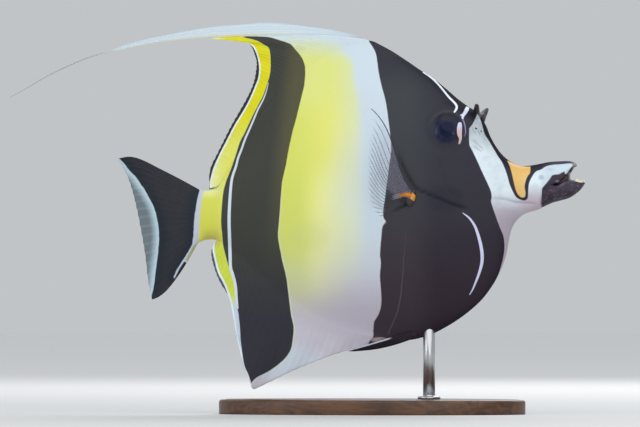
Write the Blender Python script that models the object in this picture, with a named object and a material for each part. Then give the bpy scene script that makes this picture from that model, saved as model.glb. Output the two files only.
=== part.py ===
"""A life-size moorish idol, swimming to +X, held still over a flat base by one short rod.

Metres, +Z up. The fish's mid-plane is XZ and its right side faces -Y. The origin is the centre of the
base's underside. The side outline is drawn on a chart of squares, x counted towards the head and y counted
down, and two real sizes scale it: the length from the lower lip to the upper tip of the tail fin, and the
height from the top of the streamer to the tip of the anal fin.
"""

import math

import bpy
import bmesh
from mathutils import Matrix, Vector
from mathutils.bvhtree import BVHTree

# ---------------------------------------------------------------- driving sizes, in metres
FISH_LENGTH = 0.1906
FISH_HEIGHT = 0.1466
GAP = 0.0003                    # left between touching nodes
SHARP_ANGLE = 40                # degrees; edges blunter than this are shaded smooth

BASE_LENGTH = 0.124
BASE_DEPTH = 0.064
BASE_THICKNESS = 0.006
BASE_EDGE = 0.0012              # bevel of the base's upper edge
ROD_RADIUS = 0.0024
ROD_SINK = 0.0030               # how far it goes up into the belly
FIN_CLEARANCE = 0.004           # from the base up to the anal fin's tip

# ---------------------------------------------------------------- the chart
LENGTH_SQUARES = 468.9          # lower lip (583.5) to tail fin tip (114.6)
HEIGHT_SQUARES = 366.5          # streamer (22.7) to anal fin tip (389.2)
CHART_MIDDLE = 372.0            # the base's centre
ANAL_TIP_ROW = 389.2

SQUARE_X = FISH_LENGTH / LENGTH_SQUARES
SQUARE_Z = FISH_HEIGHT / HEIGHT_SQUARES
LOWEST_Z = BASE_THICKNESS + FIN_CLEARANCE

# ---------------------------------------------------------------- the fleshy body, station by station
# Stations run from the upper lip (0) to the root of the tail fin (268).
FLESH_TOP = [  # station, chart x, chart y
    (0, 577.0, 164.8), (2, 575.1, 162.6), (5, 569.5, 161.3), (10, 558.5, 161.4), (15, 548, 162.2),
    (20, 539, 164.0), (25, 530, 165.6), (30, 521.5, 165.9), (35, 513.5, 163.4), (40, 506.5, 159.0),
    (45, 500.5, 153.2), (50, 495.5, 146.3), (55, 491, 139), (60, 487, 131), (64, 484.2, 123.5),
    (68, 480, 116), (72, 474.5, 110.8), (76, 468, 106.6), (82, 458, 99.3), (90, 446, 88.9),
    (98, 434, 79.2), (106, 421, 70.6), (114, 407, 61), (122, 393, 51.8), (130, 380, 44.7),
    (136, 371.5, 41), (145, 356, 41.5), (155, 340, 46), (165, 324, 54.5), (175, 308, 65),
    (185, 292, 78), (195, 277, 93.5), (205, 263.5, 110.5), (215, 251.5, 128.5), (225, 240.5, 146),
    (235, 231, 163), (243, 223.5, 177), (248, 217.5, 187), (253, 211.5, 189.8), (260, 205, 190.8),
    (268, 199.5, 190),
]
FLESH_BOTTOM = [
    (0, 576.7, 166.4), (2, 573.8, 168.0), (5, 570.2, 172.8), (10, 562.4, 181.9), (15, 552.8, 187.8),
    (18, 546.8, 193.6), (20, 543.4, 199.6), (22, 540.4, 205.2), (25, 536.5, 208.9), (30, 530, 211.2),
    (35, 523.2, 214.5), (40, 516.8, 220),
    (45, 512.2, 227), (50, 509.7, 235), (55, 508, 243.5), (60, 506.4, 252.5), (64, 504, 261),
    (68, 500.5, 270), (72, 496, 279), (76, 490.8, 287.5), (82, 482.5, 298.5), (90, 471, 309.5),
    (98, 459, 318.7), (106, 446, 326.9), (114, 432, 334.0), (122, 417, 338.8), (130, 403, 340.8),
    (136, 391, 340), (145, 373, 336.8), (155, 352, 332.5), (165, 331, 325.5), (175, 310, 315.5),
    (185, 290, 303), (195, 271.5, 288), (205, 255, 272.5), (215, 241.5, 259), (225, 230.5, 249.5),
    (235, 223.5, 244), (243, 219, 241.2), (248, 216, 240), (253, 211.5, 239.4), (260, 204.5, 240.2),
    (268, 198, 243),
]
# Half thickness at its widest level, the share of the way down where that level is, how full the upper
# and lower halves are (2 is an ellipse), and how keen their edges are (0.5 round, 1 keen).
SECTIONS = [  # station, half width in mm, level, fullness up, fullness down, edge up, edge down
    (0, 1.5, 0.50, 2.0, 2.0, 0.50, 0.50), (2, 2.5, 0.54, 2.0, 2.2, 0.50, 0.42),
    (5, 3.4, 0.60, 2.0, 2.4, 0.50, 0.38), (10, 4.2, 0.60, 2.1, 2.4, 0.50, 0.38),
    (20, 4.9, 0.52, 2.2, 2.1, 0.50, 0.46), (30, 5.5, 0.42, 2.2, 1.9, 0.50, 0.55),
    (40, 6.5, 0.38, 2.3, 1.8, 0.50, 0.60), (50, 7.7, 0.34, 2.6, 1.9, 0.50, 0.64),
    (60, 8.6, 0.34, 3.6, 2.0, 0.50, 0.66), (70, 9.3, 0.36, 4.4, 2.0, 0.50, 0.66),
    (80, 10.0, 0.39, 4.0, 2.1, 0.52, 0.65), (90, 10.8, 0.42, 3.3, 2.1, 0.58, 0.64),
    (106, 11.9, 0.44, 2.6, 2.1, 0.68, 0.62),
    (122, 12.4, 0.45, 2.3, 2.1, 0.78, 0.62), (136, 12.3, 0.45, 2.1, 2.1, 0.86, 0.70),
    (155, 11.7, 0.45, 2.0, 2.0, 0.90, 0.80), (175, 10.2, 0.46, 2.0, 2.0, 0.90, 0.85),
    (195, 8.1, 0.47, 2.0, 2.0, 0.88, 0.85), (215, 6.1, 0.48, 2.0, 2.0, 0.80, 0.80),
    (235, 4.5, 0.50, 2.0, 2.0, 0.66, 0.66), (248, 3.8, 0.50, 2.0, 2.0, 0.52, 0.52),
    (268, 2.4, 0.50, 2.0, 2.0, 0.50, 0.50),
]
# Half thickness of the edges, where the fins stand on the body.
EDGES = [  # station, upper, lower, in mm
    (0, 0.5, 0.5), (40, 0.5, 0.5), (110, 0.6, 0.6), (132, 0.9, 0.8), (142, 1.1, 1.1), (180, 1.1, 1.1),
    (235, 0.9, 0.9), (248, 0.8, 0.8), (268, 0.6, 0.6),
]
SNOUT_END = 40
HEAD_END = 127
TRUNK_END = 247
TAIL_ROOT = 268
STATION_GAP = 0.5               # about GAP, in stations

# ---------------------------------------------------------------- the median fins
DORSAL_MARGIN = [  # station, chart x, chart y
    (138, 366, 39.6), (141, 346, 35.9), (145, 310, 34.3), (149, 268, 35.0), (152, 235, 35.6),
    (154.5, 211, 38.1), (159, 232, 40.3), (165, 245.5, 42.9), (172, 251.5, 47), (180, 254.5, 54.5),
    (188, 256.5, 64), (196, 254.5, 78), (205, 249, 93.5), (215, 238, 113), (225, 226.8, 133.5),
    (235, 216.8, 154), (242, 209.3, 171), (246, 209.3, 186.5),
]
ANAL_MARGIN = [
    (138, 387, 341.6), (145, 370.5, 345.2), (155, 343, 351.8), (165, 314.5, 361.8), (175, 288, 373.2),
    (184, 263, 385.5), (188, 252.5, 389.2), (191, 248.8, 379), (198, 239, 350), (205, 233.5, 320),
    (212, 229, 299), (220, 220.5, 283.5), (228, 214.5, 270), (238, 211, 253), (246, 213.5, 243.6),
]
FIN_FIRST, FIN_LAST = 138.0, 246.0
DORSAL_BEND = 182.0             # the dorsal fin is parted here, where it bends round its hind notch
DORSAL_FRONT_RAYS, DORSAL_REAR_RAYS, ANAL_RAYS = 19, 23, 35
STREAMER = [  # chart x, upper edge, lower edge, half thickness in mm
    (360, 37.0, 38.0, 0.50), (349, 33.5, 35.4, 0.60), (330, 29.1, 33.6, 0.65), (310, 26.0, 33.4, 0.70),
    (283, 23.2, 34.1, 0.70), (262, 22.7, 34.1, 0.70), (240, 24.4, 34.3, 0.65), (222, 25.7, 35.7, 0.60),
    (209, 27.0, 37.1, 0.55), (190, 30.0, 38.5, 0.50), (170, 33.8, 40.6, 0.45), (150, 37.6, 43.3, 0.42),
    (129.7, 42.8, 47.3, 0.40), (117.6, 46.6, 50.4, 0.38), (107.5, 49.9, 52.0, 0.34), (97.4, 53.0, 54.4, 0.30),
    (79.2, 59.2, 60.5, 0.28),
    (46.7, 73.9, 75.1, 0.25), (22.3, 87.9, 88.9, 0.20), (6, 96.7, 97.3, 0.12),
]
STREAMER_FREE = 205             # chart column behind which it trails free
STREAMER_DRIFT = 0.0050         # its tip, to the fish's left

# ---------------------------------------------------------------- the tail fin
TAIL_UPPER_EDGE = [  # share of the way out, chart x, chart y
    (0, 198.5, 190.2), (0.25, 179.9, 180.0), (0.5, 159.6, 169.7), (0.75, 139.6, 160.0), (0.88, 127.4, 157.0),
    (1, 114.6, 158.8),
]
TAIL_LOWER_EDGE = [
    (0, 197, 243.2), (0.25, 187.4, 259.8), (0.5, 176.7, 275.8), (0.75, 165.3, 289.6), (0.9, 156.7, 296.4),
    (1, 149.1, 299.6),
]
TAIL_MARGIN = [  # share of the way down
    (0, 114.6, 158.8), (0.12, 121.6, 168), (0.25, 129, 184), (0.45, 135.2, 208), (0.6, 139.1, 232),
    (0.75, 142.6, 256), (0.88, 145.6, 282), (1, 149.1, 299.6),
]
TAIL_RAYS = 18
TAIL_SWEEP = 0.0050             # the tail fin's hind edge bends this far to the fish's left

# ---------------------------------------------------------------- paired fins, eyes and horns
PECTORAL_ROOT = [(0, 419.5, 190.5), (1, 413.5, 205)]
PECTORAL_MARGIN = [
    (0, 379.5, 109), (0.2, 377.5, 134), (0.42, 376, 158), (0.62, 375, 180), (0.78, 376, 199),
    (0.9, 381, 213), (1, 391, 220),
]
PECTORAL_RAYS = 18
PECTORAL_LIFT = math.radians(17)
PECTORAL_BOWS = (0.0018, 0.0)   # how far its first and last rays bow up or ahead of a straight line
PECTORAL_LOBE = (0.0019, 0.0017, 0.0040)
PELVIC_ROOT = [(0, 411, 331.5), (1, 417.5, 335.6)]
PELVIC_MARGIN = [(0, 350, 350.4), (0.6, 352, 351.4), (1, 368, 350.0)]
PELVIC_BOWS = (0.0, -0.0009)
PELVIC_RAYS = 6
PELVIC_LIFT = math.radians(-2)
PELVIC_LOBE = (0.0012, 0.0012, 0.0020)

EYE_CENTRE = (449.2, 131.0)
EYE_RADIUS = 0.0077
EYE_DEPTH = 0.0050              # half thickness of the flattened ball
EYE_STANDS_OUT = 0.0018         # from the skin out to the ball's crown
HORNS = {  # where it leaves the skin, and its tip: the two are not quite alike
    "right": ((476.5, 115.0), (480.4, 103.8)),
    "left": ((478.6, 117.5), (483.4, 108.2)),
}
HORN_TIP_OUT = 0.0092
HORN_SINK = 0.0014
HORN_RADIUS = 0.0016
NOSTRILS = [(478.2, 129.0, 0.00055), (483.2, 132.0, 0.00050)]
GILL_SLIT = [(404, 152), (412, 171), (421.5, 184.5), (432, 191.5), (445, 198), (461, 204.5), (477, 209.5)]
GILL_DEPTH = 0.0008

# ---------------------------------------------------------------- the lower jaw
JAW_TOP = [  # station from the tip (0) back (1), chart x, chart y
    (0, 583.6, 182.6), (0.08, 580.5, 181.9), (0.25, 574.5, 180.8), (0.45, 567.8, 180.8),
    (0.62, 561.6, 184.5), (0.77, 553.6, 189.6), (0.9, 547.6, 195.4), (1, 544.2, 201.6),
]
JAW_BOTTOM = [
    (0, 583.3, 184.4), (0.08, 582, 187), (0.25, 577.5, 192), (0.45, 569, 197.8), (0.62, 560, 200.6),
    (0.77, 552.5, 202.6), (0.9, 546.4, 205.2), (1, 543.0, 206.4),
]
JAW_WIDTHS = [  # station, half width in mm
    (0, 1.7), (0.08, 2.6), (0.25, 3.5), (0.45, 4.1), (0.62, 4.4), (0.77, 4.7), (0.9, 4.8), (1, 4.5),
]
JAW_EDGE_TOP, JAW_EDGE_BOTTOM = 0.12, 0.92      # where its rounded section starts and ends, of half a turn
TOOTH_COUNT = 5
TOOTH_ROOT, TOOTH_TIP = (578.5, 184.2), (583.8, 180.9)
TOOTH_RADIUS = 0.00045

ROD_X = 429.0                   # chart column of the rod


# ---------------------------------------------------------------- curves
def at(table, key):
    """The row's values at this key, on a smooth curve through the table's rows."""
    rows = table
    if key <= rows[0][0]:
        return rows[0][1:]
    if key >= rows[-1][0]:
        return rows[-1][1:]
    i = max(n for n, row in enumerate(rows[:-1]) if row[0] <= key)
    before, here, there, after = rows[max(i - 1, 0)], rows[i], rows[i + 1], rows[min(i + 2, len(rows) - 1)]
    step = there[0] - here[0]
    t = (key - here[0]) / step
    values = []
    for k in range(1, len(here)):
        slope_in = (there[k] - before[k]) / (there[0] - before[0]) * step
        slope_out = (after[k] - here[k]) / (after[0] - here[0]) * step
        values.append(
            (2 * t**3 - 3 * t**2 + 1) * here[k] + (t**3 - 2 * t**2 + t) * slope_in
            + (3 * t**2 - 2 * t**3) * there[k] + (t**3 - t**2) * slope_out
        )
    return tuple(values)


def chart(x, y):
    """A chart point as metres: distance ahead of the origin and height above the floor."""
    return (x - CHART_MIDDLE) * SQUARE_X, (ANAL_TIP_ROW - y) * SQUARE_Z + LOWEST_Z


def spread(first, last, count):
    return [first + (last - first) * n / (count - 1) for n in range(count)]


def half_thickness(station, share):
    """Half the body's thickness at a station, at this share of the way from its top to its bottom."""
    width, level, full_up, full_down, keen_up, keen_down = at(SECTIONS, station)
    upper, lower = at(EDGES, station)
    if share < level:
        reach, full, keen, edge = (level - share) / level, full_up, keen_up, upper
    else:
        reach, full, keen, edge = (share - level) / (1 - level), full_down, keen_down, lower
    flesh = width * max(0.0, 1 - reach**full) ** keen
    return math.hypot(flesh, edge) / 1000


def flesh_point(station, share, side):
    top, bottom = at(FLESH_TOP, station), at(FLESH_BOTTOM, station)
    x, z = chart(top[0] + (bottom[0] - top[0]) * share, top[1] + (bottom[1] - top[1]) * share)
    return Vector((x, side * half_thickness(station, share), z))


# ---------------------------------------------------------------- meshes
def material(name, colour, roughness, metallic=0.0):
    made = bpy.data.materials.new(name)
    made.use_nodes = True
    shader = made.node_tree.nodes["Principled BSDF"]
    shader.inputs["Base Color"].default_value = (*colour, 1)
    shader.inputs["Roughness"].default_value = roughness
    shader.inputs["Metallic"].default_value = metallic
    return made


def new_object(name, vertices, faces, finish):
    mesh = bpy.data.meshes.new(name)
    mesh.from_pydata(vertices, [], faces)
    made = bmesh.new()
    made.from_mesh(mesh)
    bmesh.ops.recalc_face_normals(made, faces=made.faces)
    made.to_mesh(mesh)
    made.free()
    mesh.materials.append(finish)
    obj = bpy.data.objects.new(name, mesh)
    bpy.context.scene.collection.objects.link(obj)
    smooth(obj)
    return obj


def smooth(obj):
    obj.data.polygons.foreach_set("use_smooth", [True] * len(obj.data.polygons))
    obj.data.set_sharp_from_angle(angle=math.radians(SHARP_ANGLE))


def shell(name, near, far, finish):
    """One closed body between two matching grids of points, both split into triangles alike."""
    columns, rows = len(near), len(near[0])
    vertices = [p for grid in (near, far) for column in grid for p in column]
    count = columns * rows

    def index(grid, i, j):
        return grid * count + i * rows + j

    faces = []
    for grid in (0, 1):
        for i in range(columns - 1):
            for j in range(rows - 1):
                a, b = index(grid, i, j), index(grid, i + 1, j)
                c, d = index(grid, i + 1, j + 1), index(grid, i, j + 1)
                faces += [(a, b, c), (a, c, d)]
    rim = [(i, 0) for i in range(columns)] + [(columns - 1, j) for j in range(1, rows)]
    rim += [(i, rows - 1) for i in range(columns - 2, -1, -1)] + [(0, j) for j in range(rows - 2, 0, -1)]
    for n, (i, j) in enumerate(rim):
        k, m = rim[(n + 1) % len(rim)]
        a, b, c, d = index(0, i, j), index(0, k, m), index(1, k, m), index(1, i, j)
        faces += [(a, b, c), (a, c, d)]
    return new_object(name, vertices, faces, finish)


def flesh(name, first, last, columns, rows, finish, closer=1.0):
    """A length of the body between two stations, its ends flat; above 1, closer crowds the first ones."""
    shares = [(1 - math.cos(math.pi * n / (rows - 1))) / 2 for n in range(rows)]
    stations = [first + (last - first) * u**closer for u in spread(0, 1, columns)]
    near, far = ([[flesh_point(s, share, side) for share in shares] for s in stations] for side in (-1, 1))
    return shell(name, near, far, finish)


def ball(name, centre, radii, finish, segments=22, rings=11):
    mesh = bpy.data.meshes.new(name)
    made = bmesh.new()
    bmesh.ops.create_uvsphere(made, u_segments=segments, v_segments=rings, radius=1)
    bmesh.ops.transform(made, matrix=Matrix.Translation(centre) @ Matrix.Diagonal((*radii, 1)), verts=made.verts)
    made.to_mesh(mesh)
    made.free()
    mesh.materials.append(finish)
    obj = bpy.data.objects.new(name, mesh)
    bpy.context.scene.collection.objects.link(obj)
    return obj


def taper(name, start, end, start_radius, end_radius, finish, sides=12, rings=1):
    """A round tapered peg from one point to another, with a domed tip."""
    along = (end - start).normalized()
    turn = along.to_track_quat("Z", "Y").to_matrix()
    profile = [(t / rings, start_radius + (end_radius - start_radius) * t / rings) for t in range(rings + 1)]
    length = (end - start).length
    circles = [(t * length, r) for t, r in profile] + [(length + end_radius * 0.6, end_radius * 0.6)]
    vertices = [
        start + turn @ Vector((r * math.cos(a), r * math.sin(a), h))
        for h, r in circles for a in (math.tau * n / sides for n in range(sides))
    ]
    faces = [tuple(range(sides))]
    for ring in range(len(circles) - 1):
        for n in range(sides):
            a, b = ring * sides + n, ring * sides + (n + 1) % sides
            faces.append((a, b, b + sides, a + sides))
    faces.append(tuple(range((len(circles) - 1) * sides, len(circles) * sides)))
    return new_object(name, vertices, faces, finish)


def combine(target, others, operation):
    """Joins or cuts the target with the other closed bodies in one Boolean, then removes them."""
    group = bpy.data.collections.new(target.name + "_" + operation.lower())
    bpy.context.scene.collection.children.link(group)
    for other in others:
        group.objects.link(other)
    modifier = target.modifiers.new(operation.lower(), "BOOLEAN")
    modifier.operation = operation
    modifier.solver = "EXACT"
    modifier.operand_type = "COLLECTION"
    modifier.collection = group
    bpy.context.view_layer.update()
    graph = bpy.context.evaluated_depsgraph_get()
    result = bpy.data.meshes.new_from_object(target.evaluated_get(graph))
    target.modifiers.clear()
    target.data = result
    for other in others:
        bpy.data.objects.remove(other)
    bpy.data.collections.remove(group)
    keep_largest(target)


def keep_largest(obj):
    """Drops every closed surface but the largest, so that the node is one body."""
    made = bmesh.new()
    made.from_mesh(obj.data)
    made.verts.ensure_lookup_table()
    left, groups = set(made.verts), []
    while left:
        stack, group = [left.pop()], []
        while stack:
            vertex = stack.pop()
            group.append(vertex)
            for edge in vertex.link_edges:
                other = edge.other_vert(vertex)
                if other in left:
                    left.discard(other)
                    stack.append(other)
        groups.append(group)
    groups.sort(key=len)
    for group in groups[:-1]:
        bmesh.ops.delete(made, geom=group, context="VERTS")
    made.to_mesh(obj.data)
    made.free()
    smooth(obj)


# ---------------------------------------------------------------- fins
def ray_ridges(columns_per_ray, column):
    """1 on a ray, 0 in the membrane between two."""
    return 0.5 + 0.5 * math.cos(math.tau * column / columns_per_ray)


def median_fin(name, root_table, margin, first, last, rays, root_share, bow, finish, rows=5):
    """A fin of the mid-plane: its rays run from the body's edge to the margin, ridged on both faces."""
    columns = 2 * rays + 1
    stations = spread(first, last, columns)
    near, far = [], []
    for column, station in enumerate(stations):
        root, tip = Vector(at(root_table, station)), Vector(at(margin, station))
        ray = tip - root
        start = root + ray.normalized() * GAP / SQUARE_Z
        across = Vector((-ray.y, ray.x)) * bow
        edge = half_thickness(station, root_share)
        ridge = ray_ridges(2, column)
        line = []
        for n in range(rows):
            t = n / (rows - 1)
            x, z = chart(*(start + (tip - start) * t + across * t * (1 - t)))
            fading = (1 - t) ** 1.3
            membrane = 0.00024 * (1 - 0.2 * t)
            thick = membrane + (edge - membrane) * fading + ridge * 0.00016 * (1 - fading) * (1 - 0.6 * t)
            line.append((x, thick, z))
        near.append([Vector((x, -y, z)) for x, y, z in line])
        far.append([Vector((x, y, z)) for x, y, z in line])
    return shell(name, near, far, finish)


def streamer(finish, columns=32):
    """The long third spine and the rays that run with it, drawn out to a thread."""
    rows = sorted(STREAMER)
    places = [rows[0][0] + (rows[-1][0] - rows[0][0]) * (n / (columns - 1)) for n in range(columns)]
    near, far = [], []
    for place in reversed(places):
        upper, lower, thick = at(rows, place)
        drift = STREAMER_DRIFT * max(0.0, (STREAMER_FREE - place) / STREAMER_FREE) ** 2
        line = []
        for share, part in ((0, 0.45), (0.22, 1.0), (0.5, 0.72), (0.75, 0.8), (1, 0.4)):
            x, z = chart(place, upper + (lower - upper) * share)
            line.append((x, drift, z, thick * part / 1000))
        near.append([Vector((x, y - t, z)) for x, y, z, t in line])
        far.append([Vector((x, y + t, z)) for x, y, z, t in line])
    return shell("dorsal_streamer", near, far, finish)


def tail_point(down, out):
    """A chart point of the tail fin: a patch between its two edges, its root and its hind margin."""
    upper, lower = Vector(at(TAIL_UPPER_EDGE, out)), Vector(at(TAIL_LOWER_EDGE, out))
    root = Vector(at(TAIL_UPPER_EDGE, 0)).lerp(Vector(at(TAIL_LOWER_EDGE, 0)), down)
    margin = Vector(at(TAIL_MARGIN, down))
    corners = [Vector(TAIL_UPPER_EDGE[0][1:]), Vector(TAIL_UPPER_EDGE[-1][1:]),
               Vector(TAIL_LOWER_EDGE[0][1:]), Vector(TAIL_LOWER_EDGE[-1][1:])]
    flat = corners[0].lerp(corners[1], out).lerp(corners[2].lerp(corners[3], out), down)
    return upper.lerp(lower, down) + root.lerp(margin, out) - flat


def tail_fin(finish, rows=7):
    columns = 2 * TAIL_RAYS + 1
    near, far = [], []
    for column in range(columns):
        down = column / (columns - 1)
        ridge = ray_ridges(2, column)
        root_half = half_thickness(TAIL_ROOT, down)
        strut = 0.00025 * (2 * abs(down - 0.5)) ** 4
        near_line, far_line = [], []
        for n in range(rows):
            t = n / (rows - 1)
            x, z = chart(*tail_point(down, t))
            x -= GAP * (1 - t)
            fading = (1 - t) ** 1.6
            membrane = 0.00024 + strut * (1 - t)
            thick = membrane + (root_half - membrane) * fading + ridge * 0.00018 * (1 - fading) * (1 - 0.6 * t)
            bend = TAIL_SWEEP * t * t
            near_line.append(Vector((x, bend - thick, z)))
            far_line.append(Vector((x, bend + thick, z)))
        near.append(near_line)
        far.append(far_line)
    return shell("tail_fin", near, far, finish)


def body_surface(tree, x, z, side):
    """Where the body's skin is on this side, looking in square to the mid-plane."""
    hit = tree.ray_cast(Vector((x, side * 0.05, z)), Vector((0, -side, 0)))
    return hit[0] if hit[0] is not None else Vector((x, 0, z))


def paired_fin(name, root_table, margin, rays, bows, lift, side, tree, root_half, off, cup, finish, rows=5):
    """A fin that stands off the flank: rays fan from a short root, this far off the skin, to the margin."""
    columns = 2 * rays + 1
    middle = []
    for column in range(columns):
        share = column / (columns - 1)
        root_x, root_z = chart(*at(root_table, share))
        tip_x, tip_z = chart(*at(margin, share))
        skin = body_surface(tree, root_x, root_z, side)
        reach = math.hypot(tip_x - root_x, tip_z - root_z)
        start = skin + Vector((0, side * off, 0))
        end = Vector((tip_x, start.y + side * reach * math.tan(lift), tip_z))
        line = []
        for n in range(rows):
            t = n / (rows - 1)
            point = start.lerp(end, t)
            point.y += side * reach * cup * t * (1 - t)
            bow = 4 * t * (1 - t) * (bows[0] + (bows[1] - bows[0]) * share) / reach
            point.x += bow * (tip_z - root_z)
            point.z -= bow * (tip_x - root_x)
            line.append(point)
        middle.append(line)
    near, far = [], []
    for column in range(columns):
        ridge = ray_ridges(2, column)
        near_line, far_line = [], []
        for n in range(rows):
            t = n / (rows - 1)
            here = middle[column][n]
            across = middle[min(column + 1, columns - 1)][n] - middle[max(column - 1, 0)][n]
            along = middle[column][min(n + 1, rows - 1)] - middle[column][max(n - 1, 0)]
            normal = across.cross(along).normalized()
            if normal.y * side < 0:
                normal.negate()
            thick = 0.00025 + (root_half - 0.00025) * (1 - t) ** 2 + ridge * 0.00012 * (1 - 0.7 * t) * t ** 0.5
            near_line.append(here - normal * thick)
            far_line.append(here + normal * thick)
        near.append(near_line)
        far.append(far_line)
    return shell(name, near, far, finish)


def lobe(name, root_table, side, tree, radii, grown, finish):
    """The fleshy base of a paired fin: a flattened ball, half in the flank, along the fin's root."""
    ends = [Vector((*chart(*at(root_table, share)), 0)) for share in (0, 1)]
    middle, along = (ends[0] + ends[1]) / 2, ends[1] - ends[0]
    centre = body_surface(tree, middle.x, middle.y, side)
    made = ball(name, Vector((0, 0, 0)), [r + grown for r in radii], finish, 14, 8)
    lean = math.atan2(along.x, along.y)
    made.data.transform(Matrix.Translation(centre) @ Matrix.Rotation(lean, 4, "Y"))
    return made


def swollen(name, source, by, finish):
    """A copy of a closed body, grown all round: it cuts the pocket that the body sits in."""
    copy = bpy.data.objects.new(name, source.data.copy())
    bpy.context.scene.collection.objects.link(copy)
    made = bmesh.new()
    made.from_mesh(copy.data)
    made.normal_update()
    moves = [(v, v.normal * v.calc_shell_factor() * by) for v in made.verts]
    for vertex, move in moves:
        vertex.co += move
    made.to_mesh(copy.data)
    made.free()
    return copy


# ---------------------------------------------------------------- head details
def gill_blade(side, tree, finish):
    """A thin curved blade that cuts the slit behind and below the gill cover."""
    points = [chart(*p) for p in GILL_SLIT]
    near, far = [], []
    for n, (x, z) in enumerate(points):
        before, after = points[max(n - 1, 0)], points[min(n + 1, len(points) - 1)]
        along = Vector((after[0] - before[0], after[1] - before[1])).normalized()
        ends = math.sin(math.pi * (n + 0.6) / (len(points) + 0.2))
        normal = Vector((-along.y, along.x)) * 0.00022
        skin = body_surface(tree, x, z, side).y
        inner, outer = skin - side * GILL_DEPTH * ends, skin + side * 0.002
        near.append([Vector((x - normal.x, y, z - normal.y)) for y in (inner, outer)])
        far.append([Vector((x + normal.x, y, z + normal.y)) for y in (inner, outer)])
    return shell("gill_blade", near, far, finish)


def lower_jaw(finish, columns=11, rows=9):
    near, far = [], []
    highest, lowest = math.cos(JAW_EDGE_TOP * math.pi), math.cos(JAW_EDGE_BOTTOM * math.pi)
    for place in spread(0, 1, columns):
        top, bottom = at(JAW_TOP, place), at(JAW_BOTTOM, place)
        (width,) = at(JAW_WIDTHS, place)
        near_line, far_line = [], []
        for angle in spread(JAW_EDGE_TOP * math.pi, JAW_EDGE_BOTTOM * math.pi, rows):
            share = (highest - math.cos(angle)) / (highest - lowest)
            x, z = chart(top[0] + (bottom[0] - top[0]) * share, top[1] + (bottom[1] - top[1]) * share)
            y = width * math.sin(angle) / 1000
            near_line.append(Vector((x, -y, z)))
            far_line.append(Vector((x, y, z)))
        near.append(near_line)
        far.append(far_line)
    jaw = shell("lower_jaw", near, far, finish)
    teeth = []
    for n in range(TOOTH_COUNT):
        off = n - (TOOTH_COUNT - 1) / 2
        y = off * 2.2 * TOOTH_RADIUS
        x, z = chart(*TOOTH_ROOT)
        tip_x, tip_z = chart(TOOTH_TIP[0] - abs(off) * 0.7, TOOTH_TIP[1])
        teeth.append(taper("tooth", Vector((x, y, z)), Vector((tip_x, y * 0.9, tip_z)), TOOTH_RADIUS * 1.3,
                           TOOTH_RADIUS * 0.6, finish, sides=6))
    combine(jaw, teeth, "UNION")
    return jaw


# ---------------------------------------------------------------- the stand
def upright(name, radius, low, high, finish, sides=24):
    """A plain vertical cylinder at the rod's place."""
    rod_x, _ = chart(ROD_X, 0)
    mesh = bpy.data.meshes.new(name)
    made = bmesh.new()
    bmesh.ops.create_cone(made, cap_ends=True, segments=sides, radius1=radius, radius2=radius, depth=high - low)
    bmesh.ops.translate(made, vec=(rod_x, 0, (low + high) / 2), verts=made.verts)
    made.to_mesh(mesh)
    made.free()
    mesh.materials.append(finish)
    obj = bpy.data.objects.new(name, mesh)
    bpy.context.scene.collection.objects.link(obj)
    return obj


def stand_base(finish):
    base = bpy.data.meshes.new("stand_base")
    made = bmesh.new()
    bmesh.ops.create_cone(made, cap_ends=True, segments=48, radius1=0.5, radius2=0.5, depth=1)
    size = Matrix.Diagonal((BASE_LENGTH, BASE_DEPTH, BASE_THICKNESS, 1))
    bmesh.ops.transform(made, matrix=Matrix.Translation((0, 0, BASE_THICKNESS / 2)) @ size, verts=made.verts)
    top_edges = [e for e in made.edges if all(v.co.z > BASE_THICKNESS * 0.9 for v in e.verts)]
    bmesh.ops.bevel(made, geom=top_edges, offset=BASE_EDGE, segments=3, profile=0.5, affect="EDGES")
    made.to_mesh(base)
    made.free()
    base.materials.append(finish)
    bpy.context.scene.collection.objects.link(bpy.data.objects.new("stand_base", base))


# ---------------------------------------------------------------- the whole model
def clear():
    for obj in list(bpy.data.objects):
        bpy.data.objects.remove(obj)


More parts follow.
